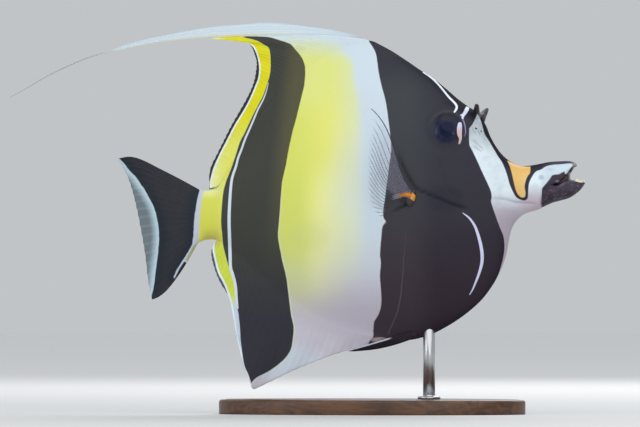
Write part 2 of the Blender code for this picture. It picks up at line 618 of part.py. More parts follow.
def main():
    clear()
    dark = material("skin_black", (0.035, 0.032, 0.040), 0.45)
    pale = material("skin_white", (0.72, 0.76, 0.78), 0.45)
    yellow = material("skin_yellow", (0.70, 0.66, 0.12), 0.45)
    clear_fin = material("fin_clear", (0.62, 0.66, 0.68), 0.35)
    eye_black = material("eye", (0.010, 0.012, 0.030), 0.08)
    wood = material("stand_wood", (0.10, 0.055, 0.030), 0.35)
    steel = material("stand_steel", (0.60, 0.60, 0.60), 0.30, 1.0)

    flesh("snout", 0, SNOUT_END - STATION_GAP / 2, 15, 15, pale, 1.25)
    head = flesh("head", SNOUT_END + STATION_GAP / 2, HEAD_END - STATION_GAP / 2, 22, 21, dark)
    flesh("trunk", HEAD_END + STATION_GAP / 2, TRUNK_END - STATION_GAP / 2, 20, 19, yellow)
    flesh("tail_stem", TRUNK_END + STATION_GAP / 2, TAIL_ROOT, 6, 13, yellow)
    bpy.context.view_layer.update()
    graph = bpy.context.evaluated_depsgraph_get()
    head_tree = BVHTree.FromObject(head, graph)

    pockets = []
    for side, hand in ((-1, "right"), (1, "left")):
        x, z = chart(*EYE_CENTRE)
        centre = body_surface(head_tree, x, z, side) + Vector((0, side * (EYE_STANDS_OUT - EYE_DEPTH), 0))
        ball("eye_" + hand, centre, (EYE_RADIUS, EYE_DEPTH, EYE_RADIUS), eye_black)
        pockets.append(ball("socket", centre, (EYE_RADIUS + GAP, EYE_DEPTH + GAP, EYE_RADIUS + GAP), dark))

        leaves, tip = HORNS[hand]
        skin = body_surface(head_tree, *chart(*leaves), side)
        tip_x, tip_z = chart(*tip)
        end = Vector((tip_x, side * HORN_TIP_OUT, tip_z))
        start = skin - (end - skin).normalized() * HORN_SINK
        horn = taper("horn_" + hand, start, end, HORN_RADIUS, HORN_RADIUS * 0.42, dark, rings=3)
        pockets.append(swollen("socket", horn, GAP, dark))

        fin = paired_fin("pectoral_fin_" + hand, PECTORAL_ROOT, PECTORAL_MARGIN, PECTORAL_RAYS, PECTORAL_BOWS,
                         PECTORAL_LIFT, side, head_tree, 0.00045, 0.0011, 0.10, clear_fin)
        combine(fin, [lobe("lobe", PECTORAL_ROOT, side, head_tree, PECTORAL_LOBE, 0, clear_fin)], "UNION")
        pockets.append(lobe("socket", PECTORAL_ROOT, side, head_tree, PECTORAL_LOBE, GAP, dark))

        fin = paired_fin("pelvic_fin_" + hand, PELVIC_ROOT, PELVIC_MARGIN, PELVIC_RAYS, PELVIC_BOWS,
                         PELVIC_LIFT, side, head_tree, 0.0004, 0.0008, 0.03, dark)
        combine(fin, [lobe("lobe", PELVIC_ROOT, side, head_tree, PELVIC_LOBE, 0, dark)], "UNION")
        pockets.append(lobe("socket", PELVIC_ROOT, side, head_tree, PELVIC_LOBE, GAP, dark))
        pockets.append(gill_blade(side, head_tree, dark))
        for nx, ny, radius in NOSTRILS:
            x, z = chart(nx, ny)
            skin = body_surface(head_tree, x, z, side)
            pockets.append(ball("nostril", skin, (radius, radius * 1.6, radius), dark, 10, 6))
    rod_x, _ = chart(ROD_X, 0)
    belly = head_tree.ray_cast(Vector((rod_x, 0, 0)), Vector((0, 0, 1)))[0].z
    rod_top = belly + ROD_SINK
    pockets.append(upright("socket", ROD_RADIUS + GAP, belly - 0.003, rod_top + GAP, dark))
    combine(head, pockets, "DIFFERENCE")
    upright("stand_rod", ROD_RADIUS, BASE_THICKNESS + GAP, rod_top, steel)
    stand_base(wood)

    lower_jaw(dark)
    bend = DORSAL_BEND - STATION_GAP / 2, DORSAL_BEND + STATION_GAP / 2
    median_fin("dorsal_fin_front", FLESH_TOP, DORSAL_MARGIN, FIN_FIRST, bend[0], DORSAL_FRONT_RAYS, 0.0, 0.10, yellow)
    median_fin("dorsal_fin_rear", FLESH_TOP, DORSAL_MARGIN, bend[1], FIN_LAST, DORSAL_REAR_RAYS, 0.0, 0.10, yellow)
    median_fin("anal_fin", FLESH_BOTTOM, ANAL_MARGIN, FIN_FIRST, FIN_LAST, ANAL_RAYS, 1.0, -0.06, yellow)
    streamer(pale)
    tail_fin(dark)


main()
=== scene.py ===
# %% [markdown]
# # A moorish idol on a museum stand
# The real thing is a life-size model of a reef fish: a deep flat body, a long white streamer, bold bands.
# A fish like this could be sculpted by hand. Here it is built from a few named curves, because a curve
# that is written down can be measured, changed and mirrored, and both flanks stay exactly alike.

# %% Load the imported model
import math

import bmesh
import bpy
import numpy as np
from mathutils import Matrix, Vector
from mathutils.bvhtree import BVHTree


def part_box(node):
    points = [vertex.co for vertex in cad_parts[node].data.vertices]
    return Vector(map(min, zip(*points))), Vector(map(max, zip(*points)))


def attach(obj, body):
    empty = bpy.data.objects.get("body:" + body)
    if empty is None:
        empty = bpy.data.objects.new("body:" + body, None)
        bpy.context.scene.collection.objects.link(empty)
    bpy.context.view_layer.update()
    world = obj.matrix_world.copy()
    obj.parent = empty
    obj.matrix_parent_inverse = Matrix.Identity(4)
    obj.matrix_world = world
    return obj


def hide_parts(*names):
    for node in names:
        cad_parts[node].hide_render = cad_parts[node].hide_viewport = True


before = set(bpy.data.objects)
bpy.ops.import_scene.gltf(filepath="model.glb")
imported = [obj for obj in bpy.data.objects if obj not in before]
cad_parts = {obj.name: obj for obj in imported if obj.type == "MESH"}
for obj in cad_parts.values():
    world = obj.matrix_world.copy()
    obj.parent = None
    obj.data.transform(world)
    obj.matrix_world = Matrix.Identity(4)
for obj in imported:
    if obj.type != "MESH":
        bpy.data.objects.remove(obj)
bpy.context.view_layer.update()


# %% [markdown]
# ## The chart
# A fish is drawn from the side on a chart of squares: x counts towards the head and y counts down. Two
# numbers turn squares into metres. Markings are drawn as they look from 10 degrees ahead of square, where
# a point on the swollen flank seems to slide back, so `seen` gives that shifted x for any point.

# %% The chart and its smooth curves
FISH_LENGTH, FISH_HEIGHT = 0.1906, 0.1466  # metres from lower lip to tail tip, and from streamer to anal fin
SQUARE_X, SQUARE_Z = FISH_LENGTH / 468.9, FISH_HEIGHT / 366.5
MM_PER_SQUARE = 0.4
MIDDLE_X, LOWEST_Y, LOWEST_Z = 372.0, 389.2, 0.010
VIEW_TURN = math.radians(10.2)
SLIDE = math.sin(VIEW_TURN) / SQUARE_Z


def metres(x, y):
    """Chart squares as metres ahead of the origin and above the floor."""
    return (x - MIDDLE_X) * SQUARE_X, (LOWEST_Y - y) * SQUARE_Z + LOWEST_Z


def seen(points, middle):
    """Chart columns and rows of 3-D points, as they look from a little ahead of the flank's own side."""
    across = middle - np.abs(points[:, 1] - middle)
    column = points[:, 0] / SQUARE_X + MIDDLE_X + across * SLIDE
    return column, LOWEST_Y - (points[:, 2] - LOWEST_Z) / SQUARE_Z


def at(table, keys):
    """Each row's values at these keys, on a smooth curve through the table's rows."""
    rows = np.array(table, float)
    key, value = rows[:, 0], rows[:, 1:]
    keys = np.clip(np.atleast_1d(np.asarray(keys, float)), key[0], key[-1])
    i = np.clip(np.searchsorted(key, keys, side="right") - 1, 0, len(key) - 2)
    before, after = np.maximum(i - 1, 0), np.minimum(i + 2, len(key) - 1)
    step = (key[i + 1] - key[i])[:, None]
    t = (keys - key[i])[:, None] / step
    slope_in = (value[i + 1] - value[before]) / (key[i + 1] - key[before])[:, None] * step
    slope_out = (value[after] - value[i]) / (key[after] - key[i])[:, None] * step
    return (
        (2 * t**3 - 3 * t**2 + 1) * value[i] + (t**3 - 2 * t**2 + t) * slope_in
        + (3 * t**2 - 2 * t**3) * value[i + 1] + (t**3 - t**2) * slope_out
    )


def smoothly(low, high, value):
    """0 below low, 1 above high, and an even slope between."""
    t = np.clip((np.asarray(value, float) - low) / (high - low), 0, 1)
    return t * t * (3 - 2 * t)


def bell(value, width):
    """1 at 0, falling smoothly to nothing a few widths away on both sides."""
    return np.exp(-((value / width) ** 2))


print("one square is", round(SQUARE_X * 1000, 3), "by", round(SQUARE_Z * 1000, 3), "mm")

# %% [markdown]
# ## The body's outline and thickness
# Stations run from the upper lip (0) to the root of the tail fin (268), like the ribs of a boat. Each has
# a top and a bottom point, and a section that says how thick and how full the body is there.

# %% Tables of the body
FLESH_TOP = [  # station, chart x, chart y
    (0, 575.8, 164.9), (2, 574.3, 162.8), (5, 569.3, 161.3), (10, 558.5, 161.4), (15, 548, 162.2),
    (20, 539, 164.0), (25, 530, 165.6), (30, 521.5, 165.9), (35, 513.5, 163.4), (40, 506.5, 159.0),
    (45, 500.5, 153.2), (50, 495.5, 146.3), (55, 491, 139), (60, 487, 131), (64, 484.2, 123.5),
    (68, 480, 116), (72, 474.5, 110.8), (76, 468, 106.6), (82, 458, 99.3), (90, 446, 88.9),
    (98, 434, 79.2), (106, 421, 70.6), (114, 407, 61), (122, 393, 51.8), (130, 380, 44.7),
    (136, 371.5, 41), (145, 356, 41.5), (155, 340, 46), (165, 324, 54.5), (175, 308, 65),
    (185, 292, 78), (195, 277, 93.5), (205, 263.5, 110.5), (215, 251.5, 128.5), (225, 240.5, 146),
    (235, 231, 163), (243, 223.5, 177), (248, 217.5, 187), (253, 211.5, 189.8), (260, 205, 190.8),
    (268, 199.5, 190),
]
FLESH_BOTTOM = [
    (0, 575.5, 166.4), (2, 573.4, 168.0), (5, 570.2, 172.8), (10, 562.4, 181.9), (15, 552.8, 187.8),
    (18, 546.8, 193.6), (20, 544.2, 201), (22, 541.8, 207.2), (25, 537.4, 209.8), (30, 530, 212),
    (35, 523.2, 214.5), (40, 516.8, 220), (45, 512.2, 227), (50, 509.7, 235), (55, 508, 243.5),
    (60, 506.4, 252.5), (64, 504, 261), (68, 500.5, 270), (72, 496, 279), (76, 490.8, 287.5),
    (82, 482.5, 298.5), (90, 471, 309.5), (98, 459, 318.7), (106, 446, 326.9), (114, 432, 334.0),
    (122, 417, 338.8), (130, 403, 340.8), (136, 391, 340), (145, 373, 336.8), (155, 352, 332.5),
    (165, 331, 325.5), (175, 310, 315.5), (185, 290, 303), (195, 271.5, 288), (205, 255, 272.5),
    (215, 241.5, 259), (225, 230.5, 249.5), (235, 223.5, 244), (243, 219, 241.2), (248, 216, 240),
    (253, 211.5, 239.4), (260, 204.5, 240.2), (268, 198, 243),
]
SECTIONS = [  # station, half width in mm, its level, fullness up and down, keenness of the edges up and down
    (0, 1.5, 0.50, 2.0, 2.0, 0.50, 0.50), (2, 2.5, 0.54, 2.0, 2.2, 0.50, 0.42),
    (5, 3.4, 0.60, 2.0, 2.8, 0.50, 0.30), (10, 4.2, 0.60, 2.1, 3.2, 0.50, 0.28),
    (20, 4.9, 0.52, 2.2, 2.7, 0.50, 0.36), (30, 5.5, 0.42, 2.2, 1.9, 0.50, 0.55),
    (40, 6.5, 0.38, 2.3, 1.8, 0.50, 0.60), (50, 7.7, 0.34, 2.6, 1.9, 0.50, 0.64),
    (60, 8.6, 0.34, 3.6, 2.0, 0.50, 0.66), (70, 9.3, 0.36, 4.4, 2.0, 0.50, 0.66),
    (80, 10.0, 0.39, 4.0, 2.1, 0.52, 0.65), (90, 10.8, 0.42, 3.3, 2.1, 0.58, 0.64),
    (106, 11.9, 0.44, 2.6, 2.1, 0.68, 0.62), (122, 12.4, 0.45, 2.3, 2.1, 0.78, 0.62),
    (136, 12.3, 0.45, 2.1, 2.1, 0.98, 0.88), (155, 11.7, 0.45, 2.0, 2.0, 1.12, 1.05),
    (175, 10.2, 0.46, 2.0, 2.0, 1.15, 1.10), (195, 8.1, 0.47, 2.0, 2.0, 1.12, 1.08),
    (215, 6.1, 0.48, 2.0, 2.0, 0.94, 0.94), (235, 4.5, 0.50, 2.0, 2.0, 0.70, 0.70),
    (248, 3.8, 0.50, 2.0, 2.0, 0.52, 0.52), (268, 2.4, 0.50, 2.0, 2.0, 0.50, 0.50),
]
EDGES = [  # station, half thickness of the upper and lower edge, in mm
    (0, 0.5, 0.5), (40, 0.5, 0.5), (110, 0.6, 0.6), (132, 0.9, 0.8), (142, 1.1, 1.1), (180, 1.1, 1.1),
    (235, 0.9, 0.9), (248, 0.8, 0.8), (268, 0.6, 0.6),
]
TAIL_ROOT = 268


def half_thickness(station, share):
    """Half the body's thickness in metres at one station, at these shares of the way down."""
    width, level, full_up, full_down, keen_up, keen_down = at(SECTIONS, station)[0]
    upper, lower = at(EDGES, station)[0]
    above = share < level
    reach = np.where(above, (level - share) / level, (share - level) / (1 - level))
    full, keen = np.where(above, full_up, full_down), np.where(above, keen_up, keen_down)
    flesh = width * np.maximum(0.0, 1 - np.clip(reach, 0, 1) ** full) ** keen
    return np.hypot(flesh, np.where(above, upper, lower)) / 1000


print("widest section:", max(row[1] for row in SECTIONS) * 2, "mm")

# %% [markdown]
# ## The fins of the mid-plane
# The dorsal and anal fins stand on the body's edge, ray beside ray, and the tail fin is a patch between
# its two strong edge rays. They share the body's skin, so they are tables beside the body's own.

# %% Tables of the fins
DORSAL_MARGIN = [  # station, chart x, chart y
    (138, 366, 39.6), (141, 346, 35.9), (145, 310, 34.3), (149, 268, 35.0), (152, 235, 35.6),
    (154.5, 211, 38.1), (159, 232, 40.3), (165, 245.5, 42.9), (172, 251.5, 47), (180, 254.5, 54.5),
    (188, 256.5, 64), (196, 254.5, 78), (205, 249, 93.5), (215, 238, 113), (225, 226.8, 133.5),
    (235, 216.8, 154), (242, 209.3, 171), (246, 208.9, 189.2),
]
ANAL_MARGIN = [
    (138, 387, 341.6), (145, 370.5, 345.2), (155, 343, 351.8), (165, 314.5, 361.8), (175, 288, 373.2),
    (184, 263, 385.5), (188, 252.5, 389.2), (191, 248.8, 379), (198, 239, 350), (205, 233.5, 320),
    (212, 229, 299), (220, 220.5, 283.5), (228, 214.5, 270), (238, 211, 253), (246, 213.5, 243.6),
]
FIN_FIRST, FIN_LAST = 138.0, 246.0
DORSAL_RAYS, ANAL_RAYS, TAIL_RAYS = 42, 35, 18
TAIL_UPPER_EDGE = [  # share of the way out, chart x, chart y
    (0, 198.5, 190.2), (0.25, 179.9, 180.0), (0.5, 159.6, 169.7), (0.75, 139.6, 160.0), (0.88, 127.4, 157.0),
    (1, 114.6, 158.8),
]
TAIL_LOWER_EDGE = [
    (0, 197, 243.2), (0.25, 187.4, 259.8), (0.5, 176.7, 275.8), (0.75, 165.3, 289.6), (0.9, 156.7, 296.4),
    (1, 149.1, 299.6),
]
TAIL_MARGIN = [  # share of the way down
    (0, 114.6, 158.8), (0.12, 120.2, 168), (0.25, 127.2, 184), (0.45, 133.8, 208), (0.6, 138.4, 232),
    (0.75, 142.2, 256), (0.88, 145.2, 282), (1, 149.1, 299.6),
]
TAIL_SWEEP = 0.0050  # the hind edge bends this far to the fish's left


def tail_patch(down, out):
    """Chart points of the tail fin, all at one share of the way out."""
    upper, lower = at(TAIL_UPPER_EDGE, out), at(TAIL_LOWER_EDGE, out)
    first, last = at(TAIL_UPPER_EDGE, 0), at(TAIL_LOWER_EDGE, 0)
    ends = at(TAIL_UPPER_EDGE, 1), at(TAIL_LOWER_EDGE, 1)
    down = np.asarray(down)[:, None]
    root = first + (last - first) * down
    top, bottom = first + (ends[0] - first) * out, last + (ends[1] - last) * out
    return upper + (lower - upper) * down + root + (at(TAIL_MARGIN, down[:, 0]) - root) * out - (
        top + (bottom - top) * down
    )


print("fin rays:", DORSAL_RAYS, "dorsal,", ANAL_RAYS, "anal,", TAIL_RAYS, "in the tail")

# %% [markdown]
# ## Paths on the skin
# Folds, grooves and the edges of markings all follow paths on the chart. One helper gives, for every
# point of the skin, how far it is from a path and on which side. A smooth distance needs no tiny faces:
# a crisp edge can be cut from it later, anywhere between two points of the mesh.

# %% Distances from paths
def smooth_path(points, between=5):
    """A denser line that runs smoothly through the points."""
    points = np.array(points, float)
    reach = np.concatenate([[0], np.cumsum(np.hypot(*np.diff(points, axis=0).T))])
    keys = np.interp(np.arange((len(points) - 1) * between + 1) / between, np.arange(len(points)), reach)
    return at(np.column_stack([reach, points]), keys)


def from_path(path, x, y, near=24.0):
    """Millimetres from the path, positive on the right hand of its way on paper, and the share along it.

    Points farther off than `near` squares are given that distance, on the left hand."""
    start, run = path[:-1], np.diff(path, axis=0)
    lengths = np.hypot(*run.T)
    done = np.concatenate([[0], np.cumsum(lengths)])
    side, along = np.full(len(x), -float(near)), np.zeros(len(x))
    low, high = path.min(0) - near, path.max(0) + near
    close = np.flatnonzero((x > low[0]) & (x < high[0]) & (y > low[1]) & (y < high[1]))
    for part in np.array_split(close, len(close) // 20000 + 1):
        dx, dy = x[part, None] - start[:, 0], y[part, None] - start[:, 1]
        t = np.clip((dx * run[:, 0] + dy * run[:, 1]) / lengths**2, 0, 1)
        away = np.hypot(dx - t * run[:, 0], dy - t * run[:, 1])
        best = away.argmin(1)
        rows = np.arange(len(part))
        turn = run[best, 0] * dy[rows, best] - run[best, 1] * dx[rows, best]
        side[part] = np.where(turn >= 0, 1, -1) * away[rows, best]
        along[part] = (done[best] + t[rows, best] * lengths[best]) / done[-1]
    return side * MM_PER_SQUARE, along


def within(pieces, x, y):
    """Millimetres inside a closed outline, negative outside; corners stand between its smooth pieces."""
    path = np.vstack([smooth_path(piece) if len(piece) > 2 else np.array(piece, float) for piece in pieces])
    path = np.vstack([path, path[:1]])
    path = path[np.concatenate([[True], np.hypot(*np.diff(path, axis=0).T) > 1e-6])]
    away = np.abs(from_path(path, x, y)[0])
    inside = np.zeros(len(x), bool)
    for (ax, ay), (bx, by) in zip(path[:-1], path[1:]):
        if ay != by:
            inside ^= ((ay > y) != (by > y)) & (x < (bx - ax) * (y - ay) / (by - ay) + ax)
    return np.where(inside, away, -away)


def crease(path, x, y, width, depth):
    """A soft groove along a path, in metres; a negative depth makes a ridge."""
    side, along = from_path(smooth_path(path), x, y)
    fade = np.clip(np.minimum(along, 1 - along) * 6, 0, 1)
    return -depth * bell(side, width) * fade / 1000


# %% [markdown]
# ## Relief of the flank
# The head isn't smooth: the eye sits in a rimmed socket, the gill cover ends in a step over a groove, and
# folds run over the cheek and the lips. Each is one line here, moving the skin in or out.

# %% Folds, grooves and sockets
EYE_SPOT = (446.9, 129.4)
EYE_RIM, EYE_RISE, EYE_LEVEL = 0.00635, 0.0019, 0.0098  # the dome's rim radius, its rise and the rim's level
EYE_TILT = (-0.06, -0.12)  # how the rim's level falls, ahead and upwards
GILL_EDGE = [(397.5, 152), (405.5, 171), (415.5, 187), (427, 193.3), (441, 199.6), (455, 205), (470, 209)]
CHEEK_LINE = [
    (461.8, 212.6), (466.6, 216), (470.2, 219.6), (474.4, 226), (477.4, 234), (480, 243.5), (481.6, 253),
    (481.6, 261.5), (480, 269), (477.4, 277), (475, 283), (472, 290), (468.8, 295.3),
]
CHIN_FOLD = [(490, 198), (505, 199.5), (515, 202.2), (530, 203.2), (540.5, 205)]
MOUTH_FOLD = [(568.2, 173.2), (565.7, 177), (564, 178.9), (559.9, 183.2), (555.7, 186.1), (551, 188.4)]
BELLY_RIDGE = [
    (406.6, 224), (405.4, 238), (403.5, 260), (402.1, 280), (400.2, 298), (397.6, 310.6), (393.8, 320.8),
    (389.6, 329.8), (388, 335.5),
]
FACE_FOLDS = [
    [(470, 139.8), (474.2, 141.8), (478.8, 146), (484, 150.2)], [(472.4, 144.4), (476, 148.4), (482, 152)],
    [(472, 125.8), (472.5, 129.4), (475.5, 134.5)], [(476.8, 129.6), (478.6, 132.4), (480, 136)],
]
SIDE_LINE = [
    (389, 105), (375, 98.6), (367, 93.4), (355, 90), (338, 88), (318, 92), (300, 103), (284, 122),
    (270, 148), (256, 178), (244, 200), (228, 212), (206, 215),
]
CREASES = [  # path, half width and depth in mm; a negative depth makes a ridge
    (CHIN_FOLD, 0.55, 0.30),
    ([(488, 206), (502, 208), (520, 209), (534, 208.5)], 1.6, -0.25),
    (MOUTH_FOLD, 0.45, 0.22),
    ([(571.5, 166.6), (565, 170.4), (556, 173.4), (549, 178)], 0.7, -0.30),
    ([(548, 176.5), (543.5, 183), (540.4, 190), (540.3, 203)], 0.45, 0.14),
    *((fold, 0.35, 0.14) for fold in FACE_FOLDS),
    ([(473.5, 137), (478.5, 139.4), (482.6, 143)], 0.5, -0.12),
    (CHEEK_LINE, 0.55, -0.14),
    (BELLY_RIDGE, 0.5, -0.16),
    ([(428, 214), (440, 232), (449, 255), (450, 280), (444, 300), (434, 318)], 3.2, 0.16),
    ([(434, 150), (437, 165), (443, 181), (452, 194), (468, 201)], 1.1, 0.16),
    (SIDE_LINE, 0.5, -0.07),
    ([(466, 116), (470, 119.5), (473.5, 124)], 1.0, -0.28),
]
GILL_RISE, GILL_GROOVE = 0.00042, 0.00055


def gill_edge(x, y):
    """Millimetres from the gill cover's edge, and a share that fades to 0 at the edge's two ends."""
    side, along = from_path(smooth_path(GILL_EDGE), x, y)
    return side, smoothly(0, 0.12, along) * smoothly(0, 0.1, 1 - along)


def relief(x, y):
    """How far the skin stands out, in metres, at these seen chart points."""
    side, fade = gill_edge(x, y)
    cover = np.where(side < 0, bell(side, 5.0), 0) * smoothly(0, 0.5, -side)
    out = fade * (GILL_RISE * cover - GILL_GROOVE * bell(side - 0.25, 0.5))
    for path, width, depth in CREASES:
        out += crease(path, x, y, width, depth)
    return out


def eye_middle():
    """The middle of an eye in metres, ahead and up, from where its rim is seen."""
    return metres(EYE_SPOT[0] + EYE_LEVEL * SLIDE, EYE_SPOT[1])


def eye_dome(ahead, up):
    """How far an eye's dome stands out from the mid-plane, in metres, around its own middle."""
    away = np.hypot(ahead, up)
    return EYE_LEVEL + EYE_RISE * (1 - (away / EYE_RIM) ** 2) + EYE_TILT[0] * ahead + EYE_TILT[1] * up


def socket(points, level):
    """The flank's level at these points once the skin is drawn to the eye's rim and dips beneath it."""
    middle = eye_middle()
    ahead, up = points[:, 0] - middle[0], points[:, 2] - middle[1]
    away = np.maximum(np.hypot(ahead, up), 1e-6)
    shrink = np.minimum(1, (EYE_RIM + 0.0001) / away)
    rim = eye_dome(ahead * shrink, up * shrink)
    drawn = level + (rim + 0.00005 - level) * (1 - smoothly(EYE_RIM, 0.0118, away))
    return drawn - 0.0014 * (1 - smoothly(0.0045, 0.0066, away))


print("gill groove, eye socket and", len(CREASES), "creases described")

# %% [markdown]
# ## One skin
# The skin is made as columns of points, one per station, on both flanks. Short columns have few points and
# long ones many, so neighbours are stitched like cloth of two weaves. The fins are patches stitched to the
# body's edges, and the tail carries the columns on. Points that coincide are welded at the end, which
# leaves one closed surface without a seam.

# %% A stitcher of columns
class Stitcher:
    """Collects points and faces; each point keeps its middle line, its fin ray and how far out it is."""

    def __init__(self):
        self.points, self.extras, self.faces, self.count = [], [], [], 0

    def add(self, points, middle=0.0, ray=0.0, out=0.0):
        points = np.asarray(points, float).reshape(-1, 3)
        extras = np.column_stack([np.broadcast_to(v, len(points)) for v in (middle, ray, out)])
        self.points.append(points)
        self.extras.append(extras)
        self.count += len(points)
        return list(range(self.count - len(points), self.count))

    def stitch(self, a, b):
        """Faces between two lines of points, which may have different numbers of them."""
        if len(a) == len(b):
            self.faces += [(a[n], b[n], b[n + 1], a[n + 1]) for n in range(len(a) - 1)]
            return
        i = j = 0
        while i < len(a) - 1 or j < len(b) - 1:
            if j == len(b) - 1 or (i < len(a) - 1 and (i + 1) * (len(b) - 1) <= (j + 1) * (len(a) - 1)):
                self.faces.append((a[i], b[j], a[i + 1]))
                i += 1
            else:
                self.faces.append((a[i], b[j], b[j + 1]))
                j += 1

    def sheet(self, lines):
        for a, b in zip(lines[:-1], lines[1:]):
            self.stitch(a, b)

    def tube(self, rings):
        """Faces between rings of points, each closed on itself."""
        self.sheet([ring + ring[:1] for ring in rings])

    def finish(self, name, material, names=("middle", "ray", "out")):
        """Welds what coincides, drops empty faces, turns all faces outwards and makes the object."""
        points, extras = np.vstack(self.points), np.vstack(self.extras)
        _, first, place = np.unique(np.round(points * 1e7), axis=0, return_index=True, return_inverse=True)
        place = place.reshape(-1)
        faces = []
        for face in self.faces:
            kept = list(dict.fromkeys(int(place[v]) for v in face))
            if len(kept) > 2:
                faces.append(kept)
        mesh = bpy.data.meshes.new(name)
        mesh.from_pydata(points[first], [], faces)
        for n, label in enumerate(names):
            write(mesh, label, extras[first][:, n])
        made = bmesh.new()
        made.from_mesh(mesh)
        bmesh.ops.delete(made, geom=[v for v in made.verts if not v.link_faces], context="VERTS")
        bmesh.ops.recalc_face_normals(made, faces=made.faces)
        made.to_mesh(mesh)
        open_edges = sum(len(e.link_faces) != 2 for e in made.edges)
        made.free()
        mesh.shade_smooth()
        mesh.materials.append(material)
        print(name, "triangles:", triangles(mesh), "open edges:", open_edges)
        return placed(name, mesh)


def placed(name, data):
    """A new object in the scene, at the origin."""
    obj = bpy.data.objects.new(name, data)
    bpy.context.scene.collection.objects.link(obj)
    return obj


def dressed(piece, slot, *nodes):
    """Rides a finished piece on the part's one body, in place of these nodes of the solids."""
    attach(piece, "root")
    if nodes:
        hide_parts(*nodes)


def write(mesh, name, values):
    """Stores a number at every point of a mesh."""
    layer = mesh.attributes.get(name) or mesh.attributes.new(name, "FLOAT", "POINT")
    layer.data.foreach_set("value", np.asarray(values, np.float32))


def read(mesh, name):
    """The numbers that were stored under a name."""
    values = np.zeros(len(mesh.vertices), np.float32)
    mesh.attributes[name].data.foreach_get("value", values)
    return values.astype(float)


def points_of(mesh):
    """The places of a mesh's points, one row each."""
    values = np.zeros(len(mesh.vertices) * 3, np.float32)
    mesh.vertices.foreach_get("co", values)
    return values.reshape(-1, 3).astype(float)


def triangles(mesh):
    """How many triangles the faces make."""
    return sum(len(p.vertices) - 2 for p in mesh.polygons)


# %% Columns of the body, rounded at both edges
ROUND_EDGE = 0.7  # how far the rounded edge reaches, in half thicknesses
COLUMN_RUNS = [
    (0, 34, 56, 60), (34, 60, 34, 116), (60, 100, 58, 176), (100, 205, 88, 128), (205, 225, 14, 88),
    (225, 268, 26, 44),
]
EVENNESS = [(0, 0.75), (40, 0.7), (70, 0.75), (110, 0.5), (150, 0.35), (268, 0.6)]


def shares(station, count):
    even = np.linspace(0, 1, count)
    return even + (((1 - np.cos(np.pi * even)) / 2) - even) * at(EVENNESS, station)[0, 0]


def edge_cap(skin, edge, other, half, side, middle, turns=(30, 60, 90)):
    """Points that round an edge off to the mid-plane, starting from the edge's own point."""
    away = (edge - other) / np.linalg.norm(edge - other)
    points = []
    for turn in np.radians(turns):
        x, z = edge + away * half * ROUND_EDGE * math.sin(turn)
        across = 0.0 if turn > 1.57 else side * half * math.cos(turn)
        points.append((x, middle + across, z))
    return skin.add(points, middle)


def body_column(skin, station, side, count):
    """One column's points: the rounded upper edge, the flank and the rounded lower edge."""
    share = shares(station, count)
    top, bottom = (np.array(metres(*at(table, station)[0])) for table in (FLESH_TOP, FLESH_BOTTOM))
    half = half_thickness(station, share)
    along = (bottom - top) / np.linalg.norm(bottom - top)
    bare = 1 - smoothly(134, 138, station) * (1 - smoothly(246, 250, station))
    drawn_in = min(0.25 * np.linalg.norm(bottom - top), bare * ROUND_EDGE * half[0])
    top, bottom = top + along * drawn_in, bottom - along * drawn_in
    line = top + (bottom - top) * share[:, None]
    points = np.column_stack([line[:, 0], side * half, line[:, 1]])
    x, y = seen(points, 0.0)
    inner = smoothly(0, 0.04, share) * smoothly(0, 0.04, 1 - share)
    level = half + relief(x, y) * inner
    if 50 < station < 110:
        level = level + (socket(points, level) - level) * smoothly(0, 0.02, share)
    points[:, 1] = side * level
    flank = skin.add(points)
    if FIN_FIRST < station < FIN_LAST:
        return [], flank, []
    grown = max(bare, 0.3)
    upper = edge_cap(skin, top, bottom, half[0] * grown, side, 0.0)
    lower = edge_cap(skin, bottom, top, half[-1] * grown, side, 0.0)
    return upper, flank, lower


print("columns on each side:", sum(columns for _, _, columns, _ in COLUMN_RUNS) + 1)

# %% [markdown]
# ### Fins on the edges
# A fin's rays stand as ridges in its own surface, thick at the root and thin at the margin. Between the
# rays the membrane is cut back a little, so the margin is faintly scalloped, and it waves from side to side.

# %% Fin patches
POINTS_PER_RAY = 5
WAVE = 0.00030  # metres that the margins wave to each side
MEMBRANE = 0.00022  # half the thickness between the rays


def fin_patch(skin, side, root_table, margin, rays, root_share, bow, end_bow, scallop, rows=34):
    columns = rays * POINTS_PER_RAY + 1
    t = np.linspace(0, 1, rows) ** 0.9 * 0.985 + 0.012
    t = np.append(t, [0.9985, 1.0])
    lines = []
    for column, station in enumerate(np.linspace(FIN_FIRST, FIN_LAST, columns)):
        root, tip = at(root_table, station)[0], at(margin, station)[0]
        ridge = 0.5 + 0.5 * math.cos(math.tau * column / POINTS_PER_RAY)
        ray = tip - root
        reach = 1 - scallop / max(np.linalg.norm(ray), 3.0) * (1 - ridge)
        across = np.array((-ray[1], ray[0])) * (bow + (end_bow - bow) * float(smoothly(238, 246, station)))
        place = root + ray * t[:, None] * reach + across * (t * (1 - t))[:, None]
        x, z = metres(place[:, 0], place[:, 1])
        edge = half_thickness(station, np.array([root_share]))[0]
        fading = (1 - t) ** 1.3
        membrane = MEMBRANE * (1 - 0.3 * t)
        thick = membrane + (edge - membrane) * fading + ridge * 0.00015 * (1 - fading) * (1 - 0.5 * t)
        thick *= np.sqrt(np.clip(1 - ((t - 0.985) / 0.015).clip(0, 1) ** 2, 0, 1))
        wave = WAVE * np.sin(station * 0.42) * smoothly(0.2, 1.0, t) * smoothly(3, 20, np.linalg.norm(ray))
        points = np.column_stack([x, wave + side * thick, z])
        lines.append(skin.add(points, wave, column / POINTS_PER_RAY, t))
    return lines


